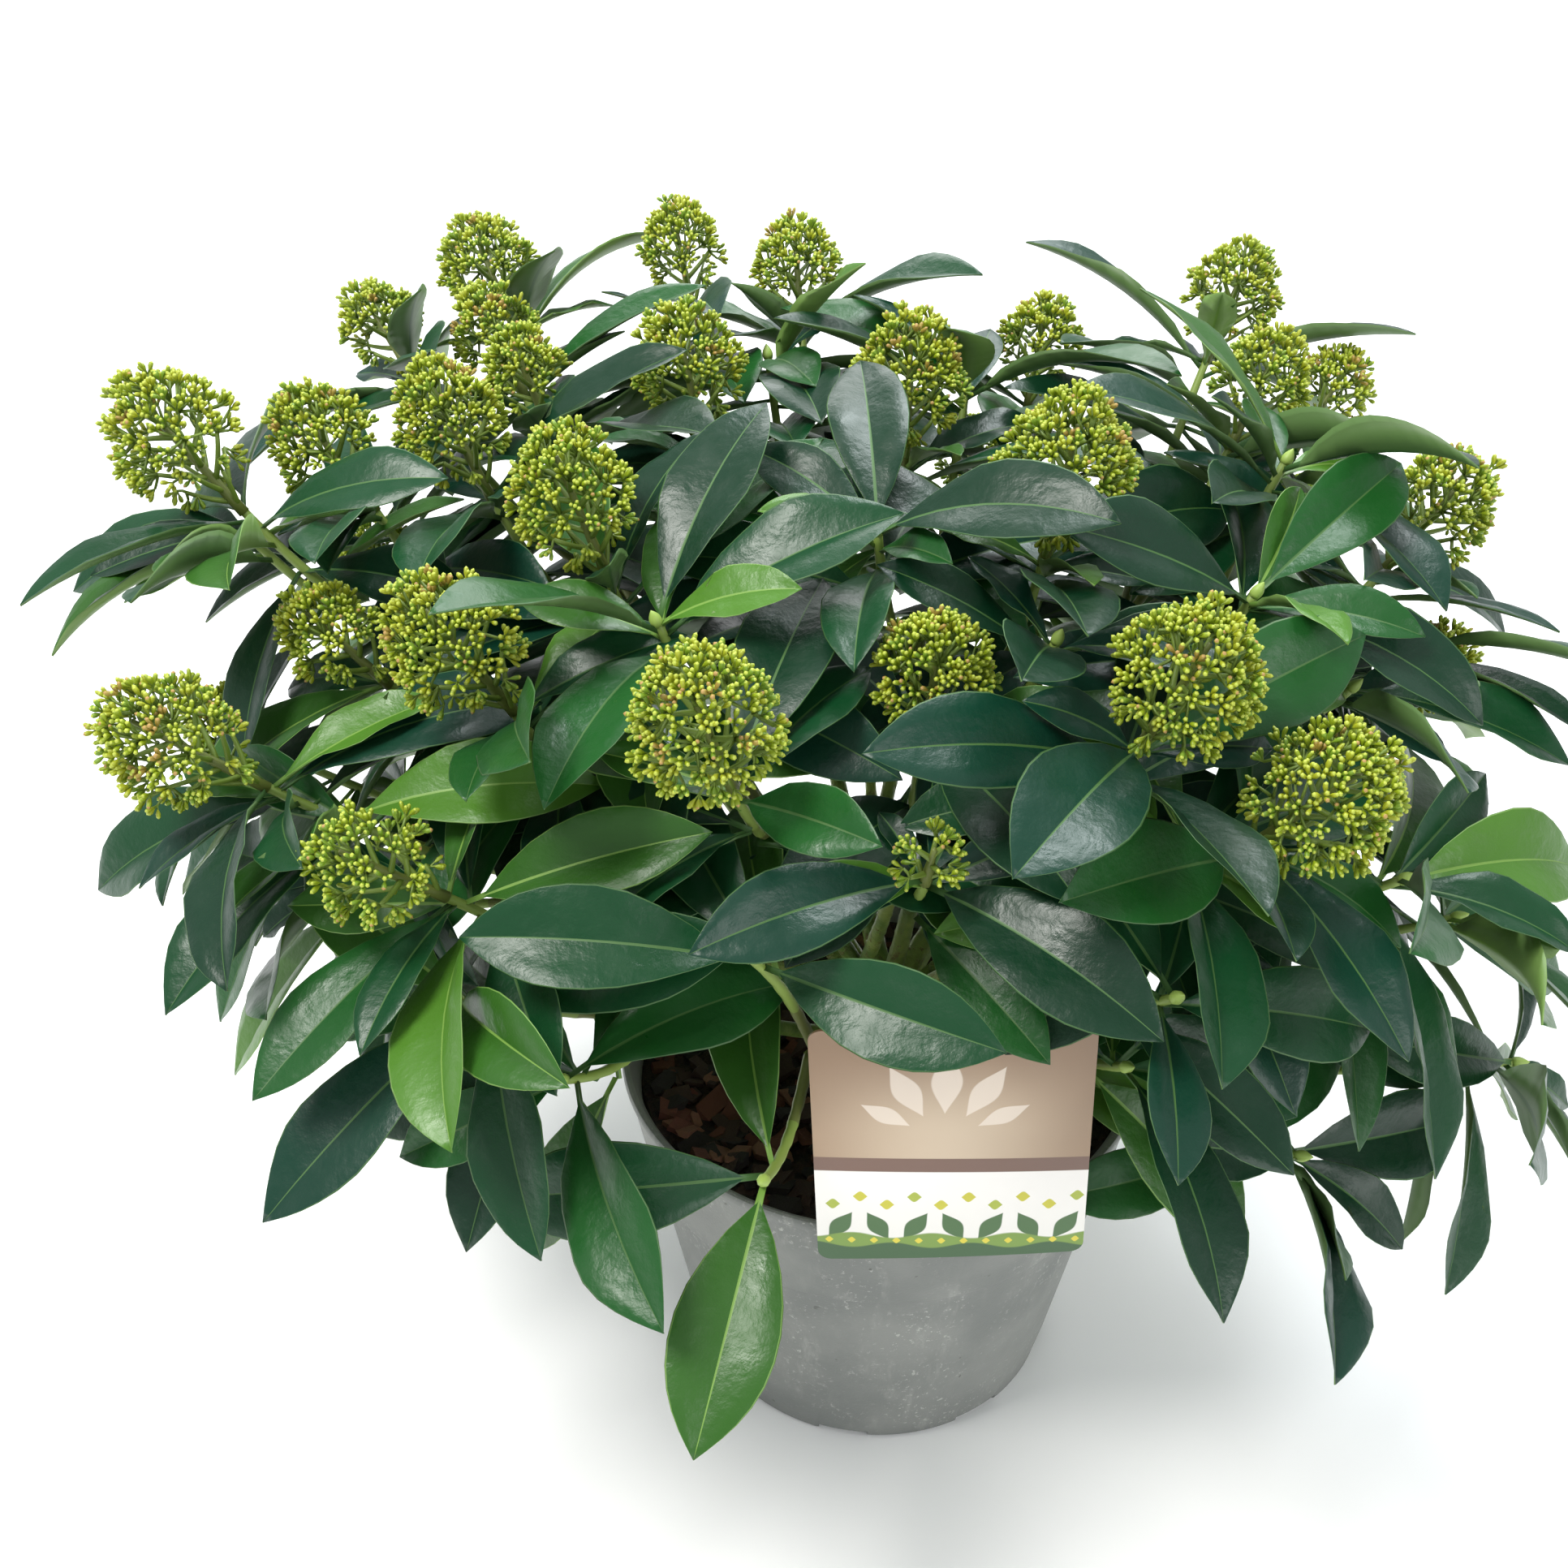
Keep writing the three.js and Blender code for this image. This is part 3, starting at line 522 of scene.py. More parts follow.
class Heap:
    """Many small shapes of one kind, joined into one mesh. A tone is the number of a finish."""

    def __init__(self):
        self.corners = []
        self.faces = []
        self.tones = []
        self.count = 0

    def put(self, corners, faces, tones):
        """Adds a shape, with one tone or a list of them by face."""
        self.corners.append(corners)
        base = self.count
        self.faces.extend(tuple(base + i for i in face) for face in faces)
        self.tones.extend([tones] * len(faces) if isinstance(tones, int) else tones)
        self.count += len(corners)

    def piece(self, name, finishes, nodes=(), smooth=True):
        mesh = bpy.data.meshes.new(name)
        mesh.from_pydata(np.concatenate(self.corners).tolist(), [], self.faces)
        mesh.polygons.foreach_set("material_index", self.tones)
        mesh.polygons.foreach_set("use_smooth", [smooth] * len(self.faces))
        for finish in finishes:
            mesh.materials.append(finish)
        mesh.update()
        made = bpy.data.objects.new(name, mesh)
        bpy.context.scene.collection.objects.link(made)
        settle(made, nodes)


def settle(made, nodes=()):
    """A finished piece goes with the pot and stands for its nodes."""
    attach(made, "root")
    if nodes:
        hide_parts(*nodes)


# ---- Growth, by the rule of the solids ----


def trunk_radius(t, angle):
    flare = max(0.0, 1.0 - t / TRUNK["flare"]) ** 2
    lobe = 1.0 + TRUNK["lobe"] * flare * np.cos(TRUNK["lobes"] * angle)
    taper = TRUNK["waist"] + (TRUNK["top"] - TRUNK["waist"]) * t
    return (taper + (TRUNK["foot"] - TRUNK["waist"]) * flare) * lobe


def trunk_line():
    ground = SOIL["top"] + GAP
    return Bend((0.0, 0.0, ground), (0.0, 0.0, ground + TRUNK["height"] / 2),
                (*TRUNK["lean"], ground + TRUNK["height"]))


def twig_radius(t, _angles):
    return TWIG["root"] + (TWIG["tip"] - TWIG["root"]) * t


# What a leaf tries in turn where it meets something: degrees round the shoot, degrees more open, and size.
TRIES = [(0, 0, 1), (12, -8, 1), (-12, -8, 1), (0, 14, 1), (24, 6, 1), (-24, 6, 1), (15, -22, 1),
         (-15, -22, 1), (0, -30, 0.95), (34, -10, 0.95), (-34, -10, 0.95), (0, 28, 0.9), (18, -5, 0.75),
         (-18, -5, 0.75), (0, -28, 0.75), (40, -20, 0.75), (-40, -20, 0.75)]


class Shoot:
    """One shoot: where its head or tuft sits and which way it grows."""

    def __init__(self, number, row):
        bearing, out, up, self.bloom = row[:4]
        self.number = number
        self.first_turn = row[4] if len(row) > 4 else None
        self.rule = UNDER_HEAD if self.bloom else LEAFY
        self.count = row[5] if len(row) > 5 else self.rule["leaves"]
        radial = outward(bearing)
        rise = (up - SOIL["top"]) / LEAN["rise"]
        lean = math.radians(min(LEAN["most"], LEAN["per_out"] * out + LEAN["low"] * (1.0 - rise)))
        self.axis = swung(UP, radial, lean)
        self.out90 = swung(radial, -UP, lean)
        self.side = np.cross(UP, radial)
        self.head = radial * out + UP * up
        self.tuft = self.head - self.axis * HEAD["seat"] * self.bloom
        self.level = "low" if self.head[2] < LOW_SHOOT else "high"
        self.look_dice = dice(SEED["looks"] * (number + 1))

    def places(self, random, turn, opened, length, depth, stray, standing=False):
        """Every place that one leaf may take, at a depth below the top of the tuft."""
        droop = LEAF["droop"] * random(*stray["droop"])
        roll = math.radians(random(-stray["roll"], stray["roll"]))
        foot = self.tuft + self.axis * (self.rule["top"] - depth)
        return [leaf_place(self, foot, turn + swing, opened + lift, length * size, droop, roll, standing)
                for swing, lift, size in TRIES]

    def plans(self):
        """Each leaf of the solid from the top of the tuft down, with every place that it may take."""
        random = dice(SEED["leaves"] * (self.number + 1))
        start = random(0, 360) if self.first_turn is None else self.first_turn
        made = []
        for i in range(self.count):
            down = i / (self.count - 1)
            turn = start + TURN * i + random(-STRAY["turn"], STRAY["turn"])
            opened = OPEN["top"] + OPEN["more"] * down + random(-STRAY["open"], STRAY["open"])
            grown = LEAF["least"] + LEAF["more"] * math.sin(math.pi * (0.25 + 0.6 * down))
            length = LEAF["length"] * (grown + random(-STRAY["size"], STRAY["size"]))
            made.append(self.places(random, turn, opened, length, self.rule["run"] * down, STRAY))
        return made

    def finer_plans(self):
        """Smaller leaves at the top of the tuft, and older ones further down the twig, by turns."""
        random = dice(SEED["finer"] * (self.number + 3))
        start = random(0, 360)
        made = []
        for i in range(FINER["leaves"]):
            kind = INNER if i % 2 else OLDER
            turn = start + TURN * i + random(-FINER_STRAY["turn"], FINER_STRAY["turn"])
            opened = random(*kind["open"])
            length = FINER["length"] * random(*kind["length"])
            depth = FINER["deep"] * random(*kind["depth"])
            standing = kind is INNER and self.head[2] > FINER["standing"]
            made.append(self.places(random, turn, opened, length, depth, FINER_STRAY, standing))
        return made


def least_open(heading, axis, height):
    """How far a leaf has to open from its shoot to rise no more than the most above level."""
    back = 0.5 + 0.5 * heading[1]
    rise = LEAF["rise"] + LEAF["per_up"] * back * max(0.0, height - LEAF["shoulder"])
    most = math.sin(math.radians(rise)) / math.hypot(heading[2], axis[2])
    return math.atan2(heading[2], axis[2]) + math.acos(most) if most < 1.0 else 0.0


def leaf_place(shoot, foot, turn, opened, length, droop, roll, standing):
    """Where a leaf starts, its three directions and how it droops. A standing one rises as it likes."""
    heading = swung(shoot.out90, shoot.side, math.radians(turn))
    opened = math.radians(opened)
    if not standing:
        opened = max(opened, least_open(heading, shoot.axis, foot[2]))
    ahead = swung(shoot.axis, heading, opened)
    flat = shoot.axis * math.sin(opened) - heading * math.cos(opened)
    face = swung(flat, np.cross(ahead, flat), roll)
    hang = min(1.0, max(HANG["least"], 1.0 + HANG["per_up"] * ahead[2]))
    return {"foot": foot, "ahead": ahead, "face": face, "side": np.cross(ahead, face), "length": length,
            "droop": math.radians(max(HANG["droop"], droop * hang))}


def rib_at(leaf, s):
    """Points along the rib, and which way the blade faces there."""
    run = leaf["length"] / leaf["droop"]
    a = (leaf["droop"] * s)[..., None]
    point = leaf["foot"] + leaf["ahead"] * run * np.sin(a) - leaf["face"] * run * (1.0 - np.cos(a))
    return point, leaf["face"] * np.cos(a) + leaf["ahead"] * np.sin(a)


def leaf_marks(leaf):
    """The tip and the four corners of the solid leaf's outline."""
    point, face = rib_at(leaf, np.array(LEAF["stations"]))
    wide = leaf["length"] * LEAF["slim"] / 2
    fold = math.radians(LEAF["fold"])
    edge = point + face * math.sin(fold) * wide
    reach = leaf["side"] * math.cos(fold) * wide
    tip, _ = rib_at(leaf, np.array((1.0,)))
    return np.concatenate([tip, edge + reach, edge - reach])


def twig_marks(curve):
    """The two middle rings of the solid twig, which has three sides."""
    return tube(curve, twig_radius, 3, 3)[0][3:9]


def corner_tree(node):
    """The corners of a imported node, to find which places its leaves and twigs took."""
    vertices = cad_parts[node].data.vertices
    tree = KDTree(len(vertices))
    for i, v in enumerate(vertices):
        tree.insert(v.co, i)
    tree.balance()
    return tree


def farthest(tree, points):
    """How far the worst of these points is from a corner."""
    return max(tree.find(p)[2] for p in points)


NEAR = 0.0009  # a place that was taken has corners this near


def taken(tree, choices, marks):
    """The choice whose marks the solid has, or None."""
    misses = [farthest(tree, marks(choice)) for choice in choices]
    best = int(np.argmin(misses))
    return choices[best] if misses[best] < NEAR else None


class Mass:
    """A bough with its stem, twigs, heads and leaves."""

    def __init__(self, row, first_number, lines):
        self.name, parent, at, self.radius, shoots = row
        self.shoots = [Shoot(first_number + i, s) for i, s in enumerate(shoots)]
        target = np.mean([s.tuft for s in self.shoots], axis=0)
        start = lines[parent].point(at)
        fork = start + (target - start) * BOUGH["reach"]
        length = np.linalg.norm(fork - start)
        steep = (fork[2] - start[2]) / length
        bend = (start + fork) / 2 + UP * BOUGH["arch"] * length * (1.0 - BOUGH["flatten"] * steep)
        self.line = Bend(start, bend, fork)
        tip = fork + self.line.heading(1.0) * GAP
        split = tip + (target - tip) * TWIG["stem_reach"]
        middle = tip + self.line.heading(1.0) * np.linalg.norm(split - tip) / 2
        self.stem = Bend(tip, middle, split)
        tree = corner_tree("foliage_" + self.name)
        for i, shoot in enumerate(self.shoots):
            shoot.twig = taken(tree, self.twig_choices(shoot, i), twig_marks)
            top = shoot.head + shoot.axis * shoot.bloom * HEAD["tall"]
            shoot.has_head = bool(shoot.bloom) and farthest(tree, [top]) < NEAR
            plans = shoot.plans() if shoot.twig else []
            leaves = [taken(tree, places, leaf_marks) for places in plans]
            shoot.leaves = [leaf for leaf in leaves if leaf]

    def twig_choices(self, shoot, i):
        """Every line that one twig may take, from the stem into its tuft."""
        start = self.stem.point(1.0 - TWIG["spread"] * i / (len(self.shoots) - 1))
        end = shoot.tuft + shoot.axis * (HEAD["sink"] * shoot.bloom if shoot.bloom else TWIG["bud"])
        reach = np.linalg.norm(end - start)
        choices = []
        for bow in BOWS:
            bend = shoot.tuft - shoot.axis * TWIG["straight"] * reach + shoot.side * bow * reach
            choices.append(Bend(start, (start + bend) / 2, bend, end))
        return choices


# ---- The shape of a leaf ----

PETIOLE = {"share": 0.09, "half": 0.0011, "taper": 0.88}  # share of the leaf's length, and half width
STEPS = np.arange(12) / 11.0
SPACED = 0.55 * STEPS + 0.45 * np.sin(STEPS * np.pi / 2)  # closer together towards the tip
ROWS = np.concatenate([(0.0,), PETIOLE["share"] + (1.0 - PETIOLE["share"]) * SPACED])
TOP = np.array((-1.0, -0.965, -0.52, -0.05, 0.05, 0.52, 0.965, 1.0))  # columns across the upper face
BELOW = np.array((-0.07, 0.07))  # and on the keel
RIB_COLUMN = 0.06  # columns nearer the middle than this are the rib's edges
OVAL = {"foot": 0.98, "tip": 0.70, "peak": 0.3130, "point": 4.4}  # powers, greatest value and slope
MIDRIB = {"tip": 0.0001, "foot": 0.0006, "most": 0.3, "groove": 0.00035, "keel": 0.0014}
QUILT = 0.00026  # how far the blade swells between its veins
RIPPLES = {"along": 2.3, "apart": 2.1}  # waves along the edges, and how far the two edges are apart in them
SLANT = 0.055  # how far the veins run forwards
BLADE, RIB, MARGIN, UNDERSIDE = range(4)


def outline(s):
    """Half the blade's width along the leaf, from 0 to 1: an oval that runs out into a straight point."""
    u = np.clip((s - PETIOLE["share"]) / (1.0 - PETIOLE["share"]), 0.0, 1.0)
    oval = u ** OVAL["foot"] * (1.0 - u) ** OVAL["tip"] / OVAL["peak"]
    point = OVAL["point"] * (1.0 - u) + 1e-6
    return oval * point / (oval ** 4 + point ** 4) ** 0.25


def blade(leaf, s, v):
    """Points on the upper face, s along the leaf and v across it, and the way it faces there."""
    point, face = rib_at(leaf, s)
    side = leaf["side"]
    angle = (leaf["twist"] * s)[..., None]
    across = side * np.cos(angle) + face * np.sin(angle)
    face = face * np.cos(angle) - side * np.sin(angle)
    stalk = PETIOLE["half"] * (1.0 - PETIOLE["taper"] * np.clip((s - 0.5) / 0.5, 0, 1))
    wide = np.maximum(leaf["length"] * leaf["slim"] / 2 * outline(s), stalk)
    rib = np.minimum((MIDRIB["tip"] + MIDRIB["foot"] * (1.0 - s) ** 0.8) / wide, MIDRIB["most"])
    v = np.where(np.abs(v) < RIB_COLUMN, np.sign(v) * rib, v)
    share = np.abs(v)
    fold = math.radians(leaf["fold"])
    lift = wide * share * math.sin(fold)
    lift = lift + wide * leaf["cup"] * (share - share ** 3)
    swing = 2 * np.pi * (RIPPLES["along"] * s + leaf["phase"]) + np.where(v > 0, RIPPLES["apart"], 0.0)
    lift = lift + leaf["wave"] * outline(s) * share ** 2 * np.sin(swing)
    reach = wide * v * math.cos(fold) + leaf["sickle"] * leaf["length"] * (s ** 2)
    return point + across * reach[..., None] + face * lift[..., None], face


def veined(leaf, columns):
    """A leaf's grid of points, with rows that slant forwards like its veins."""
    s, v = np.meshgrid(ROWS, columns, indexing="ij")
    slant = SLANT * np.abs(v) * np.sin(np.pi * s) ** 0.8
    points, face = blade(leaf, np.minimum(s + slant, 1.0), v)
    return s, np.abs(v), points, face


def leaf_corners(leaf):
    """The upper face, quilted between its veins and grooved along its rib, and the keel below it."""
    s, share, top, face = veined(leaf, TOP)
    veins = np.where(np.arange(len(ROWS)) % 2, 1.0, -1.0)[:, None]
    quilt = QUILT * veins * np.sin(np.pi * share) * np.clip(outline(s) - 0.2, 0, 0.8)
    groove = -MIDRIB["groove"] * (share < RIB_COLUMN) * (outline(s) > 0.1)
    top = top + face * (quilt + groove)[..., None]
    s, _, low, face = veined(leaf, BELOW)
    low = low - face * (MIDRIB["keel"] * (1.0 - 0.5 * s))[..., None]
    return np.concatenate([top.reshape(-1, 3), low.reshape(-1, 3)])


def leaf_faces():
    """Faces of a leaf with its rows of corners, and which part of the leaf each is."""
    rows, cols, low = len(ROWS), len(TOP), len(BELOW)
    base = rows * cols
    faces, parts = [], []
    for i in range(rows - 1):
        stalk = ROWS[i] < PETIOLE["share"] - 0.01
        for j in range(cols - 1):
            a = i * cols + j
            faces.append((a, a + 1, a + 1 + cols, a + cols))
            on_rib = j == cols // 2 - 1 or stalk
            parts.append(RIB if on_rib else MARGIN if j in (0, cols - 2) else BLADE)
        left = [i * cols] + [base + i * low + k for k in range(low)] + [i * cols + cols - 1]
        step = [cols] + [low] * low + [cols]
        for k in range(low + 1):
            a, b = left[k], left[k + 1]
            faces.append((b, a, a + step[k], b + step[k + 1]))
            parts.append(RIB if k == low // 2 or stalk else UNDERSIDE)
    for i, turn in ((0, 1), (rows - 1, -1)):
        ring = [i * cols + j for j in range(cols)] + [base + i * low + k for k in range(low)][::-1]
        faces.append(tuple(ring[::-turn]))
        parts.append(RIB)
    return faces, np.array(parts)


LEAF_FACES, LEAF_PARTS = leaf_faces()
YOUNG_TONE = 4  # from this tone on a leaf is young
RIB_TONE, MARGIN_TONE, UNDER_TONE = 6, 8, 10  # of an old leaf, and each is followed by a young leaf's


def leaf_tones(leaf):
    young = int(leaf["tone"] >= YOUNG_TONE)
    by_part = np.array((leaf["tone"], RIB_TONE + young, MARGIN_TONE + young, UNDER_TONE + young))
    return by_part[LEAF_PARTS].tolist()


# ---- Leaves on the plant ----

YOUNG = {"inner": 0.3, "low": 0.16, "high": 0.06}  # how many leaves are young
# Up to which draws a leaf is deep, blue-green, dark and mid.
TONE_SHARES = {"high": (0.26, 0.58, 0.82, 0.95), "low": (0.24, 0.29, 0.68, 0.93)}
BENDS = {"cup": (0.08, 0.32), "wave": (0.0002, 0.0016), "phase": (0, 1), "twist": (-0.2, 0.2),
         "sickle": (-0.035, 0.035)}
LIGHT = {"way": (0.0, -0.5, 0.55), "outward": 0.4, "turn": 0.75}  # where blades turn, and how far they do
EASES = (1.0, 0.5, 0.0)  # shares of that turn that a leaf tries
INSIDE = 0.002  # how far finer leaves stay inside the solids' box
COARSE = np.array((0.14, 0.35, 0.6, 0.84, 1.0)), np.array((-1.0, 0.0, 1.0))  # rows and columns
DOME = {"foot": 0.2, "top": 0.45, "wide": 0.44}  # a rough head, by the head's width


def draw_look(shoot, inner=False):
    """The bends and the tone that make one leaf differ from the next. Low leaves are the greener ones."""
    random = shoot.look_dice
    young = random(0, 1) < YOUNG["inner" if inner else shoot.level]
    look = {"fold": LEAF["fold"] + random(-6, 10)}
    look.update({bend: random(*ends) for bend, ends in BENDS.items()})
    look["slim"] = LEAF["slim"] * random(0.87, 1.07)
    pick = random(0, 1)
    if young:
        look["tone"] = YOUNG_TONE + (pick < 0.35)
    else:
        look["tone"] = sum(pick > share for share in TONE_SHARES[shoot.level])
    return look


def dressed(leaf, look, ease=1.0):
    """A leaf with its look, its blade turned towards the light. Ease is the share of the full turn."""
    radial = unit(leaf["foot"] * np.array((1.0, 1.0, 0.0)) + np.array((0.0, -0.001, 0.0)))
    light = unit(np.array(LIGHT["way"]) + LIGHT["outward"] * radial)
    twist = look["twist"] - LIGHT["turn"] * float(leaf["side"] @ light)
    return {**leaf, **look, "twist": twist * ease}


def ball(corners):
    """The middle of some corners, and how far they reach from it."""
    middle = corners.mean(axis=0)
    return middle, np.linalg.norm(corners - middle, axis=1).max()


class Crowd:
    """What stands in the crown so far, as rough surfaces, so that new leaves keep clear of it."""

    def __init__(self):
        self.rows = []

    def add(self, corners, faces):
        self.rows.append((*ball(corners), BVHTree.FromPolygons(corners.tolist(), faces)))

    def meets(self, corners, faces):
        middle, reach = ball(corners)
        mine = None
        for other, far, tree in self.rows:
            if np.linalg.norm(other - middle) > reach + far:
                continue
            if mine is None:
                mine = BVHTree.FromPolygons(corners.tolist(), faces)
            if mine.overlap(tree):
                return True
        return False


def rough_leaf(leaf):
    s, v = np.meshgrid(*COARSE, indexing="ij")
    corners, _ = blade(leaf, s, v)
    rows, cols = s.shape
    faces = [(i * cols + j, i * cols + j + 1, (i + 1) * cols + j + 1, (i + 1) * cols + j)
             for i in range(rows - 1) for j in range(cols - 1)]
    return corners.reshape(-1, 3), faces


def rough_head(shoot):
    """A plain eight-sided dome that fills the head's space."""
    foot = shoot.tuft + shoot.axis * DOME["foot"] * shoot.bloom
    top = shoot.head + shoot.axis * DOME["top"] * shoot.bloom
    wide = DOME["wide"] * shoot.bloom
    return tube(Bend(foot, top), lambda t, a: wide * math.sin(math.pi * (0.2 + 0.6 * t)), 8, 3)


def hides_card(points):
    """Whether any of these points is in the slanting space between the card and the eye."""
    out = -(POT["rim"] + CARD_VIEW["before"]) - points[:, 1]
    lift = points[:, 2] - CARD_VIEW["rise"] / CARD_VIEW["depth"] * np.clip(out, 0, None)
    inside = (np.abs(points[:, 0] - CARD["middle"]) < CARD["width"] / 2) & (out > -CARD_VIEW["slack"])
    inside &= (lift > CARD["foot"]) & (lift < CARD["foot"] + CARD["height"] - CARD_VIEW["overlap"])
    return bool(inside.any())


def hides_soil(points):
    """Whether any of these points is in the slanting space between the soil beside the card and the eye."""
    up = points[:, 2] - SOIL["top"]
    x = points[:, 0] - SOIL_VIEW["slip"] * up
    y = points[:, 1] + up / SOIL_VIEW["rise"]
    inside = (x > SOIL_VIEW["left"]) & (x < SOIL_VIEW["right"]) & (y < SOIL_VIEW["back"])
    inside &= (up > SOIL_VIEW["clear"]) & (np.hypot(x, y) < POT["rim"] - SOIL_VIEW["edge"])
    return bool(inside.any())


def in_reach(points):
    """Whether all of these points are well inside the solids' box."""
    low, high = np.array(cad_low), np.array(cad_high)
    return bool((points > low + INSIDE).all() and (points < high - INSIDE).all())


def fitted(leaf, look, crowd):
    """A solid's leaf in its look, turned less where it would meet something."""
    for ease in EASES:
        made = dressed(leaf, look, ease)
        corners, faces = rough_leaf(made)
        if not crowd.meets(corners, faces):
            break
    crowd.add(corners, faces)
    return made


def first_free(places, look, crowd):
    """A finer leaf at the first place with room for it, in a list, or an empty list."""
    for leaf in places:
        made = dressed(leaf, look)
        corners, faces = rough_leaf(made)
        hides = hides_card(corners) or hides_soil(corners)
        if in_reach(corners) and not hides and not crowd.meets(corners, faces):
            crowd.add(corners, faces)
            return [made]
    return []


def leaf_out(masses):
    """The solids' leaves take their looks, and finer leaves fill in between them, where there is room."""
    crowd = Crowd()
    shoots = [shoot for mass in masses for shoot in mass.shoots if shoot.twig]
    for shoot in shoots:
        if shoot.has_head:
            crowd.add(*rough_head(shoot))
    for shoot in shoots:
        shoot.leaves = [fitted(leaf, draw_look(shoot), crowd) for leaf in shoot.leaves]
    plans = [shoot.finer_plans() for shoot in shoots]
    for i in range(FINER["leaves"]):
        for shoot, finer in zip(shoots, plans):
            shoot.leaves += first_free(finer[i], draw_look(shoot, inner=i % 2), crowd)


def grow_leaves(mass, finishes):
    heap = Heap()
    for shoot in mass.shoots:
        for leaf in shoot.leaves:
            heap.put(leaf_corners(leaf), LEAF_FACES, leaf_tones(leaf))
    heap.piece("leaves_" + mass.name, finishes, ["foliage_" + mass.name])


# ---- Twigs ----

KNUCKLE = {"height": 0.00018, "waves": 46.0, "swell": 1.02}
LEAF_TIP = {"below": 0.002, "above": 0.0045, "radius": 0.0024}  # the bud at the end of a leafy shoot
OLIVE_SHARE = 0.45  # of a twig, from its foot


def bud_radius(t, _angles):
    return LEAF_TIP["radius"] * math.sin(math.pi * (0.32 + 0.66 * t))


def grow_twigs(mass, finishes):
    """The stem and its twigs, with a bud at the tip of each leafy shoot."""
    heap = Heap()
    heap.put(*tube(mass.stem, lambda t, a: BOUGH["tip"], 10, 8), TWIG_OLIVE)
    for shoot in mass.shoots:
        if not shoot.twig:
            continue
        random = dice(SEED["twigs"] * (shoot.number + 1))
        phase = random(0, 6)

        def knuckled(t, angles, phase=phase):
            ring = KNUCKLE["height"] * np.sin(KNUCKLE["waves"] * t + phase) * math.sin(math.pi * t)
            return twig_radius(t, angles) * KNUCKLE["swell"] + ring

        corners, faces = tube(shoot.twig, knuckled, 9, 22)
        split = int(len(faces) * OLIVE_SHARE)
        heap.put(corners, faces, [TWIG_OLIVE] * split + [TWIG_GREEN] * (len(faces) - split))
        if not shoot.bloom:
            end = shoot.tuft + shoot.axis * TWIG["bud"]
            bud = Bend(end - shoot.axis * LEAF_TIP["below"], end + shoot.axis * LEAF_TIP["above"])
            heap.put(*tube(bud, bud_radius, 8, 5), LEAF_BUD)
    heap.piece("twigs_" + mass.name, finishes)


# ---- Flower heads ----

GOLDEN = math.pi * (3.0 - math.sqrt(5.0))  # the golden angle
BUDS = {"wide": 0.00092, "length": 0.0054, "sides": 5, "per_cyme": 5}  # "wide" is half its width
# Counts are for a full head. Branches end at the node, as a share of the way out. "gather" is how many
# degrees a cyme may be from its branch, on top and low down.
PANICLE = {"branches": 20, "least_branches": 7, "node": 0.62, "cymes": 186, "least_cymes": 24, "growth": 1.7,
           "lowest": -0.80, "stray": 0.09, "gather": (38.0, 12.5)}
STALKS = {"rachis": (0.0023, 0.6), "branch": (0.00125, 0.35)}  # radius at the foot, and taper
CYME_STALK = {"radius": 0.00075, "less": 0.0002, "sink": 0.8}
SEAT = {"middle": 0.40, "per_up": 0.5, "low": 0.04, "high": 0.95}  # where a branch leaves the rachis
WAIST = {"below": 0.5, "above": 0.16}  # how far a head narrows
BUD_ORDER = (BLUSH, YELLOW, LIME, GREEN)  # from the top of a head down
BUD_SHARES = (0.05, 0.34, 0.84)
PINK_TIPS = {BLUSH: 0.5, YELLOW: 0.05, LIME: 0.05, GREEN: 0.05}
CLUB = ((0.0, 0.30), (0.36, 0.42), (0.64, 0.98), (0.90, 0.86))  # along the bud, and its radius there
TIP_AT = 1.03


def spread(count, lowest, phase):
    """Directions spread evenly from straight up down to a lowest height."""
    k = np.arange(count)
    z = 1.0 - (k + 0.5) * (1.0 - lowest) / count
    angle = k * GOLDEN + phase
    flat = np.sqrt(1.0 - z * z)
    return np.stack([flat * np.cos(angle), flat * np.sin(angle), z], axis=1)


def bud_faces():
    sides, last = BUDS["sides"], (len(CLUB) - 1) * BUDS["sides"]
    tip = [(last + j, last + (j + 1) % sides, last + sides) for j in range(sides)]
    return ring_faces(sides, len(CLUB) - 1) + tip


BUD_FACES = bud_faces()


def bud_corners(root, way, length, size):
    """Club-shaped: a thin pedicel that swells into a round bud."""
    across = unit(np.cross(way, far_axis(way)))
    ring = spokes(around(BUDS["sides"]), across, np.cross(way, across))
    rows = [root + way * length * t + ring * BUDS["wide"] * size * r for t, r in CLUB]
    return np.concatenate(rows + [(root + way * length * TIP_AT)[None]])


def head_shape(shoot, way):
    """From the head's middle to its surface in one direction: a dome that narrows below and above."""
    waist = 1.0 - WAIST["below"] * max(0.0, -way[2] - 0.05) - WAIST["above"] * max(0.0, way[2])
    across, along = shoot.bloom * HEAD["wide"] * waist, shoot.bloom * HEAD["tall"]
    return shoot.out90 * way[0] * across + shoot.side * way[1] * across + shoot.axis * way[2] * along


def tapered(radius, taper):
    """The radius along a stalk that thins towards its end."""
    return lambda t, _angles: radius * (1.0 - taper * t)


def cyme_stalk(t, _angles):
    return CYME_STALK["radius"] - CYME_STALK["less"] * t


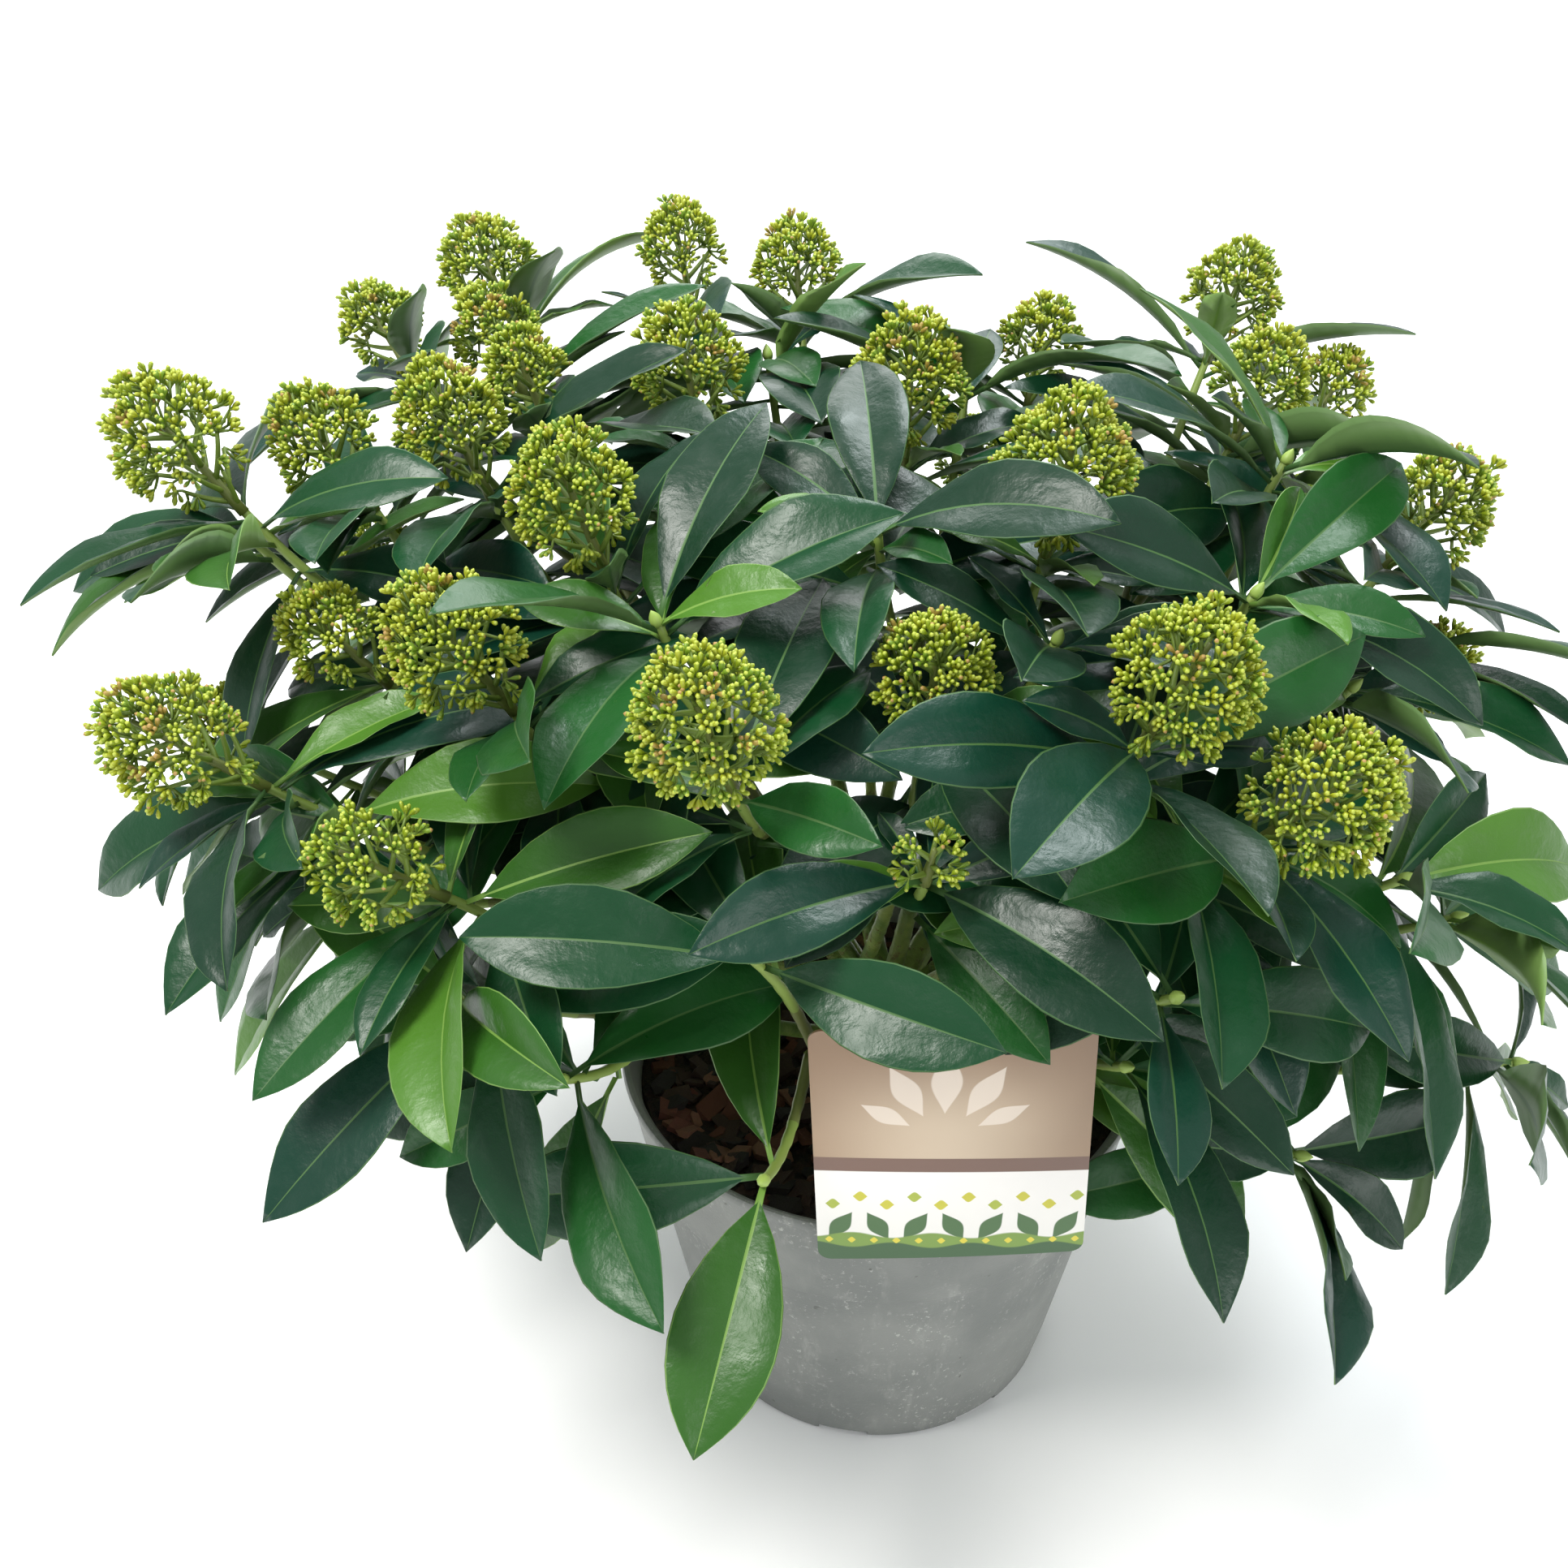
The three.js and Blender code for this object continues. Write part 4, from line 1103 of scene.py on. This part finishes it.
def grow_branches(heap, shoot, random, size):
    """The rachis and its side branches. Gives the direction of each branch and where it ends."""
    foot = shoot.tuft + shoot.axis * 0.02 * shoot.bloom
    rachis = Bend(foot, shoot.head + shoot.axis * 0.36 * shoot.bloom)
    heap.put(*tube(rachis, tapered(*STALKS["rachis"]), 7, 6), RACHIS)
    count = max(PANICLE["least_branches"], round(PANICLE["branches"] * size))
    ways = spread(count, PANICLE["lowest"], random(0, 6))
    nodes = []
    for way in ways:
        seat = rachis.point(min(SEAT["high"], max(SEAT["low"], SEAT["middle"] + SEAT["per_up"] * way[2])))
        out = PANICLE["node"] * random(0.90, 1.05) + 0.16 * max(0.0, -way[2])
        node = shoot.head + head_shape(shoot, way) * out
        elbow = seat + (node - seat) * 0.5 + shoot.axis * 0.05 * shoot.bloom * (way[2] - 0.4)
        heap.put(*tube(Bend(seat, elbow, node), tapered(*STALKS["branch"]), 5, 4), BRANCH)
        nodes.append(node)
    return ways, nodes


def grow_head(heap, shoot):
    """A panicle: a rachis, side branches, and cymes spread over a dome, apart from each other low down."""
    random = dice(SEED["heads"] * (shoot.number + 1))
    loose = LOOSE_HEADS.get(shoot.number, random(0.0, 0.15))
    size = (shoot.bloom / FULL_HEAD) ** PANICLE["growth"]
    ways, nodes = grow_branches(heap, shoot, random, size)
    count = max(PANICLE["least_cymes"], round(PANICLE["cymes"] * size))
    for way in spread(count, PANICLE["lowest"] - 0.08, random(0, 6)):
        way = unit(way + np.array((random(-1, 1), random(-1, 1), random(-1, 1))) * PANICLE["stray"])
        near = int(np.argmax(ways @ way))
        between = math.degrees(math.acos(min(1.0, float(ways[near] @ way))))
        low = min(1.0, max(0.0, 0.5 - 1.3 * way[2]))  # 0 on top, 1 low down
        wide, tight = PANICLE["gather"]
        if between > wide + (tight - wide) * min(1.0, max(low, 1.6 * loose)):
            continue
        out = unit(head_shape(shoot, way))
        spot = shoot.head + head_shape(shoot, way) * random(0.84, 1.05)
        spot -= out * BUDS["length"] * CYME_STALK["sink"]
        middle = (nodes[near] + spot) / 2 + out * random(-0.001, 0.001)
        heap.put(*tube(Bend(nodes[near], middle, spot), cyme_stalk, 3, 2), BRANCH)
        pick = random(0, 1) + 0.22 * low
        if shoot.number in LOOSE_HEADS:
            tone = GREEN if pick < 0.6 else LIME
        else:
            tone = BUD_ORDER[sum(pick > share for share in BUD_SHARES)]
        grow_cyme(heap, random, spot, unit(out + shoot.axis * 0.25), tone)


def grow_cyme(heap, random, spot, normal, tone):
    """A few buds that open from one point."""
    side = unit(np.cross(normal, UP + np.array((0.013, 0.007, 0.0))))
    over = np.cross(normal, side)
    start = random(0, 6.28)
    count = BUDS["per_cyme"] + (random(0, 1) < 0.35) - (random(0, 1) < 0.35)
    sides = BUDS["sides"]
    for i in range(count):
        tilt = random(0.0, 0.25) if i == 0 else random(0.35, 0.85)
        turn = start + i * 2 * math.pi / (count - 1)
        way = swung(normal, swung(side, over, turn), tilt)
        length = BUDS["length"] * random(0.82, 1.12)
        corners = bud_corners(spot, way, length, random(0.86, 1.1))
        tip = PINK if random(0, 1) < PINK_TIPS[tone] else PALE
        heap.put(corners, BUD_FACES, [PEDICEL] * sides + [tone] * 2 * sides + [tip] * sides)


def grow_blossom(mass, finishes):
    heap = Heap()
    for shoot in mass.shoots:
        if shoot.has_head:
            grow_head(heap, shoot)
    if heap.count:
        heap.piece("blossom_" + mass.name, finishes)


# ---- Trunk and boughs ----

RIDGES = {"count": 7, "deep": 0.018}
SCAR = {"height": 0.00022, "waves": 60.0, "above": 0.93}
COLLAR = {"height": 0.0012, "reach": 0.05}  # where a bough leaves its parent


def make_trunk(trunk):
    """Bark with its relief, on the same line as the solid."""
    random = dice(SEED["ridges"])
    ridges = [(random(3, 17), random(0, 6), random(2, 9)) for _ in range(RIDGES["count"])]

    def rough(t, angles):
        relief = sum(np.sin(round(n) * angles + p + w * t) for n, p, w in ridges)
        return trunk_radius(t, angles) * (1.0 + RIDGES["deep"] * relief)

    bark = Heap()
    bark.put(*tube(trunk, rough, 64, 48), 0)
    bark.piece("trunk_bark", [bark_finish()], ["trunk"])


def make_boughs(masses):
    """Green boughs with a collar at the foot and leaf scars, on the same lines as the solids."""
    stems = Heap()
    for k, mass in enumerate(masses):
        phase = 1.7 * k

        def scarred(t, angles, mass=mass, phase=phase):
            taper = mass.radius + (BOUGH["tip"] - mass.radius) * t
            collar = COLLAR["height"] * math.exp(-((t / COLLAR["reach"]) ** 2))
            scars = SCAR["height"] * (math.sin(SCAR["waves"] * t + phase) > SCAR["above"])
            relief = 0.00012 * np.sin(3 * angles + 9 * t + phase) + 0.00009 * np.sin(7 * angles - 31 * t)
            return taper + collar + scars + relief

        stems.put(*tube(mass.line, scarred, 16, 60), 0)
    names = ["bough_" + mass.name for mass in masses]
    stems.piece("bough_bark", [green_stem_finish()], names)


# ---- Pot, soil and chips ----

# Out from the base and up from the ground, and out from the rim and up from its top.
FOOT_CURVE = ((-0.004, 0.0), (-0.0016, 0.0006), (0.0, 0.0026))
LIP_CURVE = ((-0.0004, -0.0042), (0.0, -0.003), (0.0, -0.0012), (-0.0006, -0.0003), (-0.0016, 0.0))
WALL_RINGS = (0.02, 0.05, 0.08)


def wall_radius(height):
    return POT["base"] + (POT["rim"] - POT["bead"] - POT["base"]) * height / POT["height"]


def inner_radius(height):
    return wall_radius(height) - POT["wall"]


def edit_all():
    bpy.ops.object.mode_set(mode="EDIT")
    bpy.ops.mesh.select_all(action="SELECT")


def turn_up(name, profile, sides):
    """A round piece drawn up ring by ring from a disc, and closed at its last ring."""
    radius, height = profile[0]
    bpy.ops.mesh.primitive_circle_add(vertices=sides, radius=radius, fill_type="NGON",
                                      location=(0, 0, height))
    made = bpy.context.object
    made.name = name
    edit_all()
    for (r0, h0), (r1, h1) in zip(profile, profile[1:]):
        bpy.ops.mesh.extrude_region_move(TRANSFORM_OT_translate={"value": (0.0, 0.0, h1 - h0)})
        bpy.ops.transform.resize(value=(r1 / r0, r1 / r0, 1.0))
    edit_all()
    bpy.ops.mesh.normals_make_consistent(inside=False)
    bpy.ops.object.mode_set(mode="OBJECT")
    bpy.ops.object.transform_apply(location=True, rotation=True, scale=True)
    return made


def apply_modifier(made, kind, **settings):
    modifier = made.modifiers.new(kind.lower(), kind)
    for name, value in settings.items():
        setattr(modifier, name, value)
    bpy.ops.object.select_all(action="DESELECT")
    made.select_set(True)
    bpy.context.view_layer.objects.active = made
    bpy.ops.object.modifier_apply(modifier=modifier.name)


def complete(made, crease, finish, nodes=()):
    """The last steps on the active piece: smooth up to a crease in degrees, finish it, and settle it with
    the pot.
    """
    bpy.ops.object.shade_smooth_by_angle(angle=math.radians(crease))
    made.data.materials.append(finish)
    settle(made, nodes)


def pot_profile():
    """Up the outside from the foot, over the lip and down to the inside of the floor."""
    top, step = POT["height"], BAND["step"]
    shoulder = top - BAND["height"]
    profile = [(POT["base"] + out, up) for out, up in FOOT_CURVE]
    profile += [(wall_radius(height), height) for height in (*WALL_RINGS, shoulder - BAND["round"])]
    profile += [
        (wall_radius(shoulder) + step * 0.75, shoulder),
        (wall_radius(shoulder) + step, shoulder + BAND["round"]),
        (wall_radius(top - 0.02) + step - 0.0004, top - 0.02),
        (wall_radius(top - 0.006) + 0.0009, top - 0.006),
    ]
    profile += [(POT["rim"] + out, top + up) for out, up in LIP_CURVE]
    profile += [
        (POT["rim"] - POT["wall"], top - 0.0005),
        (inner_radius(top - 0.004), top - 0.004),
        (inner_radius(WALL_RINGS[-1]), WALL_RINGS[-1]),
        (inner_radius(POT["floor"]) - 0.002, POT["floor"]),
    ]
    return profile


def make_pot():
    """A thin-walled pot with a collar, a beaded rim and drain notches in a rounded foot."""
    pot = turn_up("pot_shell", pot_profile(), POT["sides"])
    reach = POT["base"] + NOTCH["depth"]
    for i in range(NOTCH["count"]):
        turn = math.radians((i + NOTCH["first"]) * 360 / NOTCH["count"])
        place = (reach * math.sin(turn), -reach * math.cos(turn), 0.0)
        bpy.ops.mesh.primitive_cube_add(size=1.0, location=place, rotation=(0, 0, turn))
        cutter = bpy.context.object
        cutter.scale = (NOTCH["width"], 4 * NOTCH["depth"], 2 * NOTCH["height"])
        apply_modifier(cutter, "BEVEL", width=NOTCH["round"], segments=3)
        apply_modifier(pot, "BOOLEAN", object=cutter, operation="DIFFERENCE", solver="EXACT")
        bpy.data.objects.remove(cutter)
    complete(pot, 35, pot_finish(), ["pot"])


def soil_height(x, y):
    """The soil's uneven top."""
    wide = 2.2 * math.sin(x / 0.011 + 1) * math.sin(y / 0.009 + 2)
    fine = 0.9 * math.sin(x / 0.0037 + 2) * math.sin(y / 0.0043) + 0.6 * math.sin(x / 0.0019 + y / 0.0023)
    return SOIL["top"] + 0.001 * (wide + fine) * min(1.0, math.hypot(x, y) / 0.04)


def make_soil(finish):
    """Peat from the floor up, rounded at its foot, with rings on top that are moved up and down."""
    foot, top = POT["floor"] + GAP, SOIL["top"]
    wall = inner_radius(top) - 2 * GAP
    low = foot + SOIL["foot"]
    profile = [(inner_radius(POT["floor"]) - 0.005, foot), (inner_radius(low) - 2 * GAP, low),
               (wall, top - 0.002)]
    profile += [((wall - 0.001) * (1.0 - i / SOIL["rings"]), top) for i in range(SOIL["rings"])]
    soil = turn_up("peat", profile, SOIL["sides"])
    for v in soil.data.vertices:
        if v.co.z > top - 0.001:
            v.co.z = soil_height(v.co.x, v.co.y)
    complete(soil, 60, finish, ["soil"])


# A rough block with a blunt point at each end.
SQUARE = ((-1, -1), (1, -1), (1, 1), (-1, 1))
CHIP_CORNERS = [(x, y, z) for z in (-1, 1) for x, y in SQUARE] + [(1.25, 0, 0), (-1.25, 0, 0)]
CHIP_FACES = [(0, 3, 2, 1), (4, 5, 6, 7), (0, 1, 5, 4), (2, 3, 7, 6), (1, 2, 8), (2, 6, 8), (6, 5, 8),
              (5, 1, 8), (3, 0, 9), (0, 4, 9), (4, 7, 9), (7, 3, 9)]
CHIP_SHARES = (0.3, 0.62, 0.9)  # up to which draws a chip is black, umber and russet


def make_chips(finishes):
    """Bark chips lie flat or tilted all over the soil."""
    heap = Heap()
    random = dice(SEED["chips"])
    wall = inner_radius(SOIL["top"]) - CHIP["clear"]
    for k in range(CHIP["count"]):
        far = wall * math.sqrt((k + 0.5) / CHIP["count"])
        angle = k * GOLDEN + random(-0.2, 0.2)
        x, y = far * math.cos(angle), far * math.sin(angle)
        size = random(0.45, 1.15)
        sizes = np.array((CHIP["length"], CHIP["width"], CHIP["thick"])) * size / 2
        core = np.array([[c * random(0.55, 1.1) for c in corner] for corner in CHIP_CORNERS]) * sizes
        ahead = unit(np.array((random(-1, 1), random(-1, 1), random(-0.45, 0.45))))
        flat = unit(np.array((random(-0.4, 0.4), random(-0.4, 0.4), 1.0)))
        over = unit(np.cross(flat, ahead))
        corners = core @ np.stack([ahead, over, np.cross(ahead, over)])
        pull = min(1.0, wall / np.hypot(corners[:, 0] + x, corners[:, 1] + y).max())
        place = np.array((x * pull, y * pull, soil_height(x, y) + random(0.0002, 0.0026)))
        pick = random(0, 1)
        heap.put(corners + place, CHIP_FACES, sum(pick >= share for share in CHIP_SHARES))
    heap.piece("bark_chips", finishes, smooth=False)


# ---- Card ----

# Shapes printed on the card: the middle in shares of the card's width and height, then half the width and
# half the length in shares of the card's height, and a turn in degrees.
PETALS = ((-0.20, 0.74, 0.045, 0.12, 118), (-0.06, 0.78, 0.05, 0.135, 90), (0.08, 0.74, 0.045, 0.12, 62),
          (-0.27, 0.64, 0.035, 0.09, 150), (0.15, 0.64, 0.035, 0.09, 30))
SPRIGS = [(-0.42 + 0.14 * i, 0.145, 0.034, 0.075, 60 + 60 * (i % 2)) for i in range(7)]
BERRIES = [(-0.45 + 0.1 * i, 0.245 + 0.036 * (i % 2), 0.024, 0.024, 0) for i in range(10)]
DOTS = [(-0.46 + 0.084 * i, 0.078, 0.014, 0.014, 0) for i in range(12)]


def card_finish():
    """A printed card: a warm upper field, a brown band and a pale lower field with a plain leaf border."""
    f = Finish("printed_card", (214, 200, 188), 0.35, Coat_Weight=0.25, Coat_Roughness=0.15)
    place = f.node("SeparateXYZ", {}, {0: f.place()})
    x = (Number(f, place.outputs["X"]) - CARD["middle"]) / CARD["width"]
    z = (Number(f, place.outputs["Z"]) - CARD["foot"]) / CARD["height"]

    def blot(cx, cz, wide, tall, turn):
        """A leaf or dot: 1 inside a pointed ellipse, turned by an angle."""
        c, s = math.cos(math.radians(turn)), math.sin(math.radians(turn))
        dx = (x - cx) * (CARD["width"] / CARD["height"])
        dz = z - cz
        along = (dx * c + dz * s) / tall
        side = (dz * c - dx * s) / wide
        return 1.0 - (along * along + abs(side) * (1.0 + 0.9 * along * along)).between(0.86, 1.0)

    field = f.blend(abs(x + 0.05).between(0.0, 0.62), (196, 176, 152), (152, 124, 98))
    colour = f.blend(z.between(0.56, 0.96), field, (134, 106, 80))
    lower = f.blend(z.between(0.0, 0.42), (222, 220, 214), (236, 232, 228))
    colour = f.blend(1.0 - z.between(0.452, 0.456), colour, (112, 84, 72))
    colour = f.blend(1.0 - z.between(0.392, 0.396), colour, lower)
    for petal in PETALS:
        colour = f.blend(blot(*petal) * 0.55, colour, (238, 226, 214))
    for sprig in SPRIGS:
        colour = f.blend(blot(*sprig), colour, (62, 98, 52))
    hills = 0.012 * (x * 21.0).wave()
    colour = f.blend(1.0 - (z + hills).between(0.098, 0.106), colour, (112, 142, 58))
    colour = f.blend(1.0 - (z - hills).between(0.052, 0.060), colour, (48, 84, 46))
    for i, berry in enumerate(BERRIES):
        colour = f.blend(blot(*berry), colour, (190, 184, 52) if i % 3 else (160, 172, 60))
    for dot in DOTS:
        colour = f.blend(blot(*dot), colour, (206, 192, 60))
    f.drive("Base Color", colour)
    f.drive("Roughness", 0.3 + 0.12 * f.noise(0.02))
    return f.material


def cut_strips(count, length, way):
    """Cuts the mesh in edit mode across into even strips, so that it can bend, and leaves edit mode."""
    for i in range(1, count):
        at = (i / count - 0.5) * length
        bpy.ops.mesh.select_all(action="SELECT")
        bpy.ops.mesh.bisect(plane_co=[at * w for w in way], plane_no=way)
    bpy.ops.object.mode_set(mode="OBJECT")


def new_sheet(name):
    bpy.ops.mesh.primitive_plane_add(size=1.0)
    made = bpy.context.object
    made.name = name
    return made


def make_card():
    """A thin card with round corners, bowed a little, that leans on the rim."""
    card = new_sheet("plant_card")
    card.scale = (CARD["width"], CARD["height"], 1.0)
    bpy.ops.object.transform_apply(location=False, rotation=False, scale=True)
    edit_all()
    bpy.ops.mesh.bevel(offset=CARD["corner"], segments=6, affect="VERTICES")
    cut_strips(CARD["strips"], CARD["width"], (1, 0, 0))
    for v in card.data.vertices:
        v.co.z = CARD["bow"] * (1.0 - (2 * v.co.x / CARD["width"]) ** 2)
        v.co.y += CARD["height"] / 2
    apply_modifier(card, "SOLIDIFY", thickness=CARD["thick"], offset=-1.0)
    lean = math.radians(CARD["lean"])
    back = -(POT["rim"] + GAP) - CARD["thick"] - CARD["bow"]
    card.rotation_euler = (math.pi / 2 + lean, 0.0, 0.0)
    bpy.ops.object.transform_apply(location=False, rotation=True, scale=False)
    card.rotation_euler = (0.0, math.radians(-CARD["turn"]), 0.0)
    card.location = (CARD["middle"], back + lean * (POT["height"] - CARD["foot"]), CARD["foot"])
    bpy.ops.object.transform_apply(location=True, rotation=True, scale=False)
    complete(card, 40, card_finish(), ["card"])


def make_tongue():
    """A strip from the card's back, over the rim and down inside the wall."""
    middle, rim, root = CARD["middle"], POT["height"], TONGUE["root"]
    inner = -(POT["rim"] - POT["wall"]) + TONGUE["inset"]
    front = -(POT["rim"] + GAP) - math.tan(math.radians(CARD["lean"])) * (root - rim)
    line = Bend((middle, front, root), (middle, inner + 0.001, root - 0.004), (middle, inner, rim + 0.004),
                (middle, inner, TONGUE["tip"]))
    tongue = new_sheet("card_tongue")
    edit_all()
    cut_strips(TONGUE["strips"], 1.0, (0, 1, 0))
    for v in tongue.data.vertices:
        spot = line.point(0.5 + v.co.y)
        v.co = (middle + TONGUE["width"] * v.co.x, spot[1], spot[2])
    apply_modifier(tongue, "SOLIDIFY", thickness=TONGUE["thick"], offset=0.0)
    complete(tongue, 40, Finish("card_back", (206, 200, 194), 0.4).material)


# ---- Assembly ----


def grow_all():
    """The trunk and its boughs, then leaves, twigs and blossom on each bough."""
    trunk = trunk_line()
    lines = {"trunk": trunk}
    masses = []
    number = 0
    for row in BOUGHS + back_skirt():
        mass = Mass(row, number, lines)
        lines[mass.name] = mass.line
        number += len(mass.shoots)
        masses.append(mass)
    leaf_out(masses)
    make_trunk(trunk)
    make_boughs(masses)
    leaves, twigs, blossom = leaf_finishes(), plain_finishes(TWIG_TONES, 0.5), blossom_finishes()
    for mass in masses:
        grow_leaves(mass, leaves)
        grow_twigs(mass, twigs)
        grow_blossom(mass, blossom)


make_camera()
make_studio()
make_pot()
make_soil(soil_finish())
make_chips(chip_finishes())
make_card()
make_tongue()
grow_all()
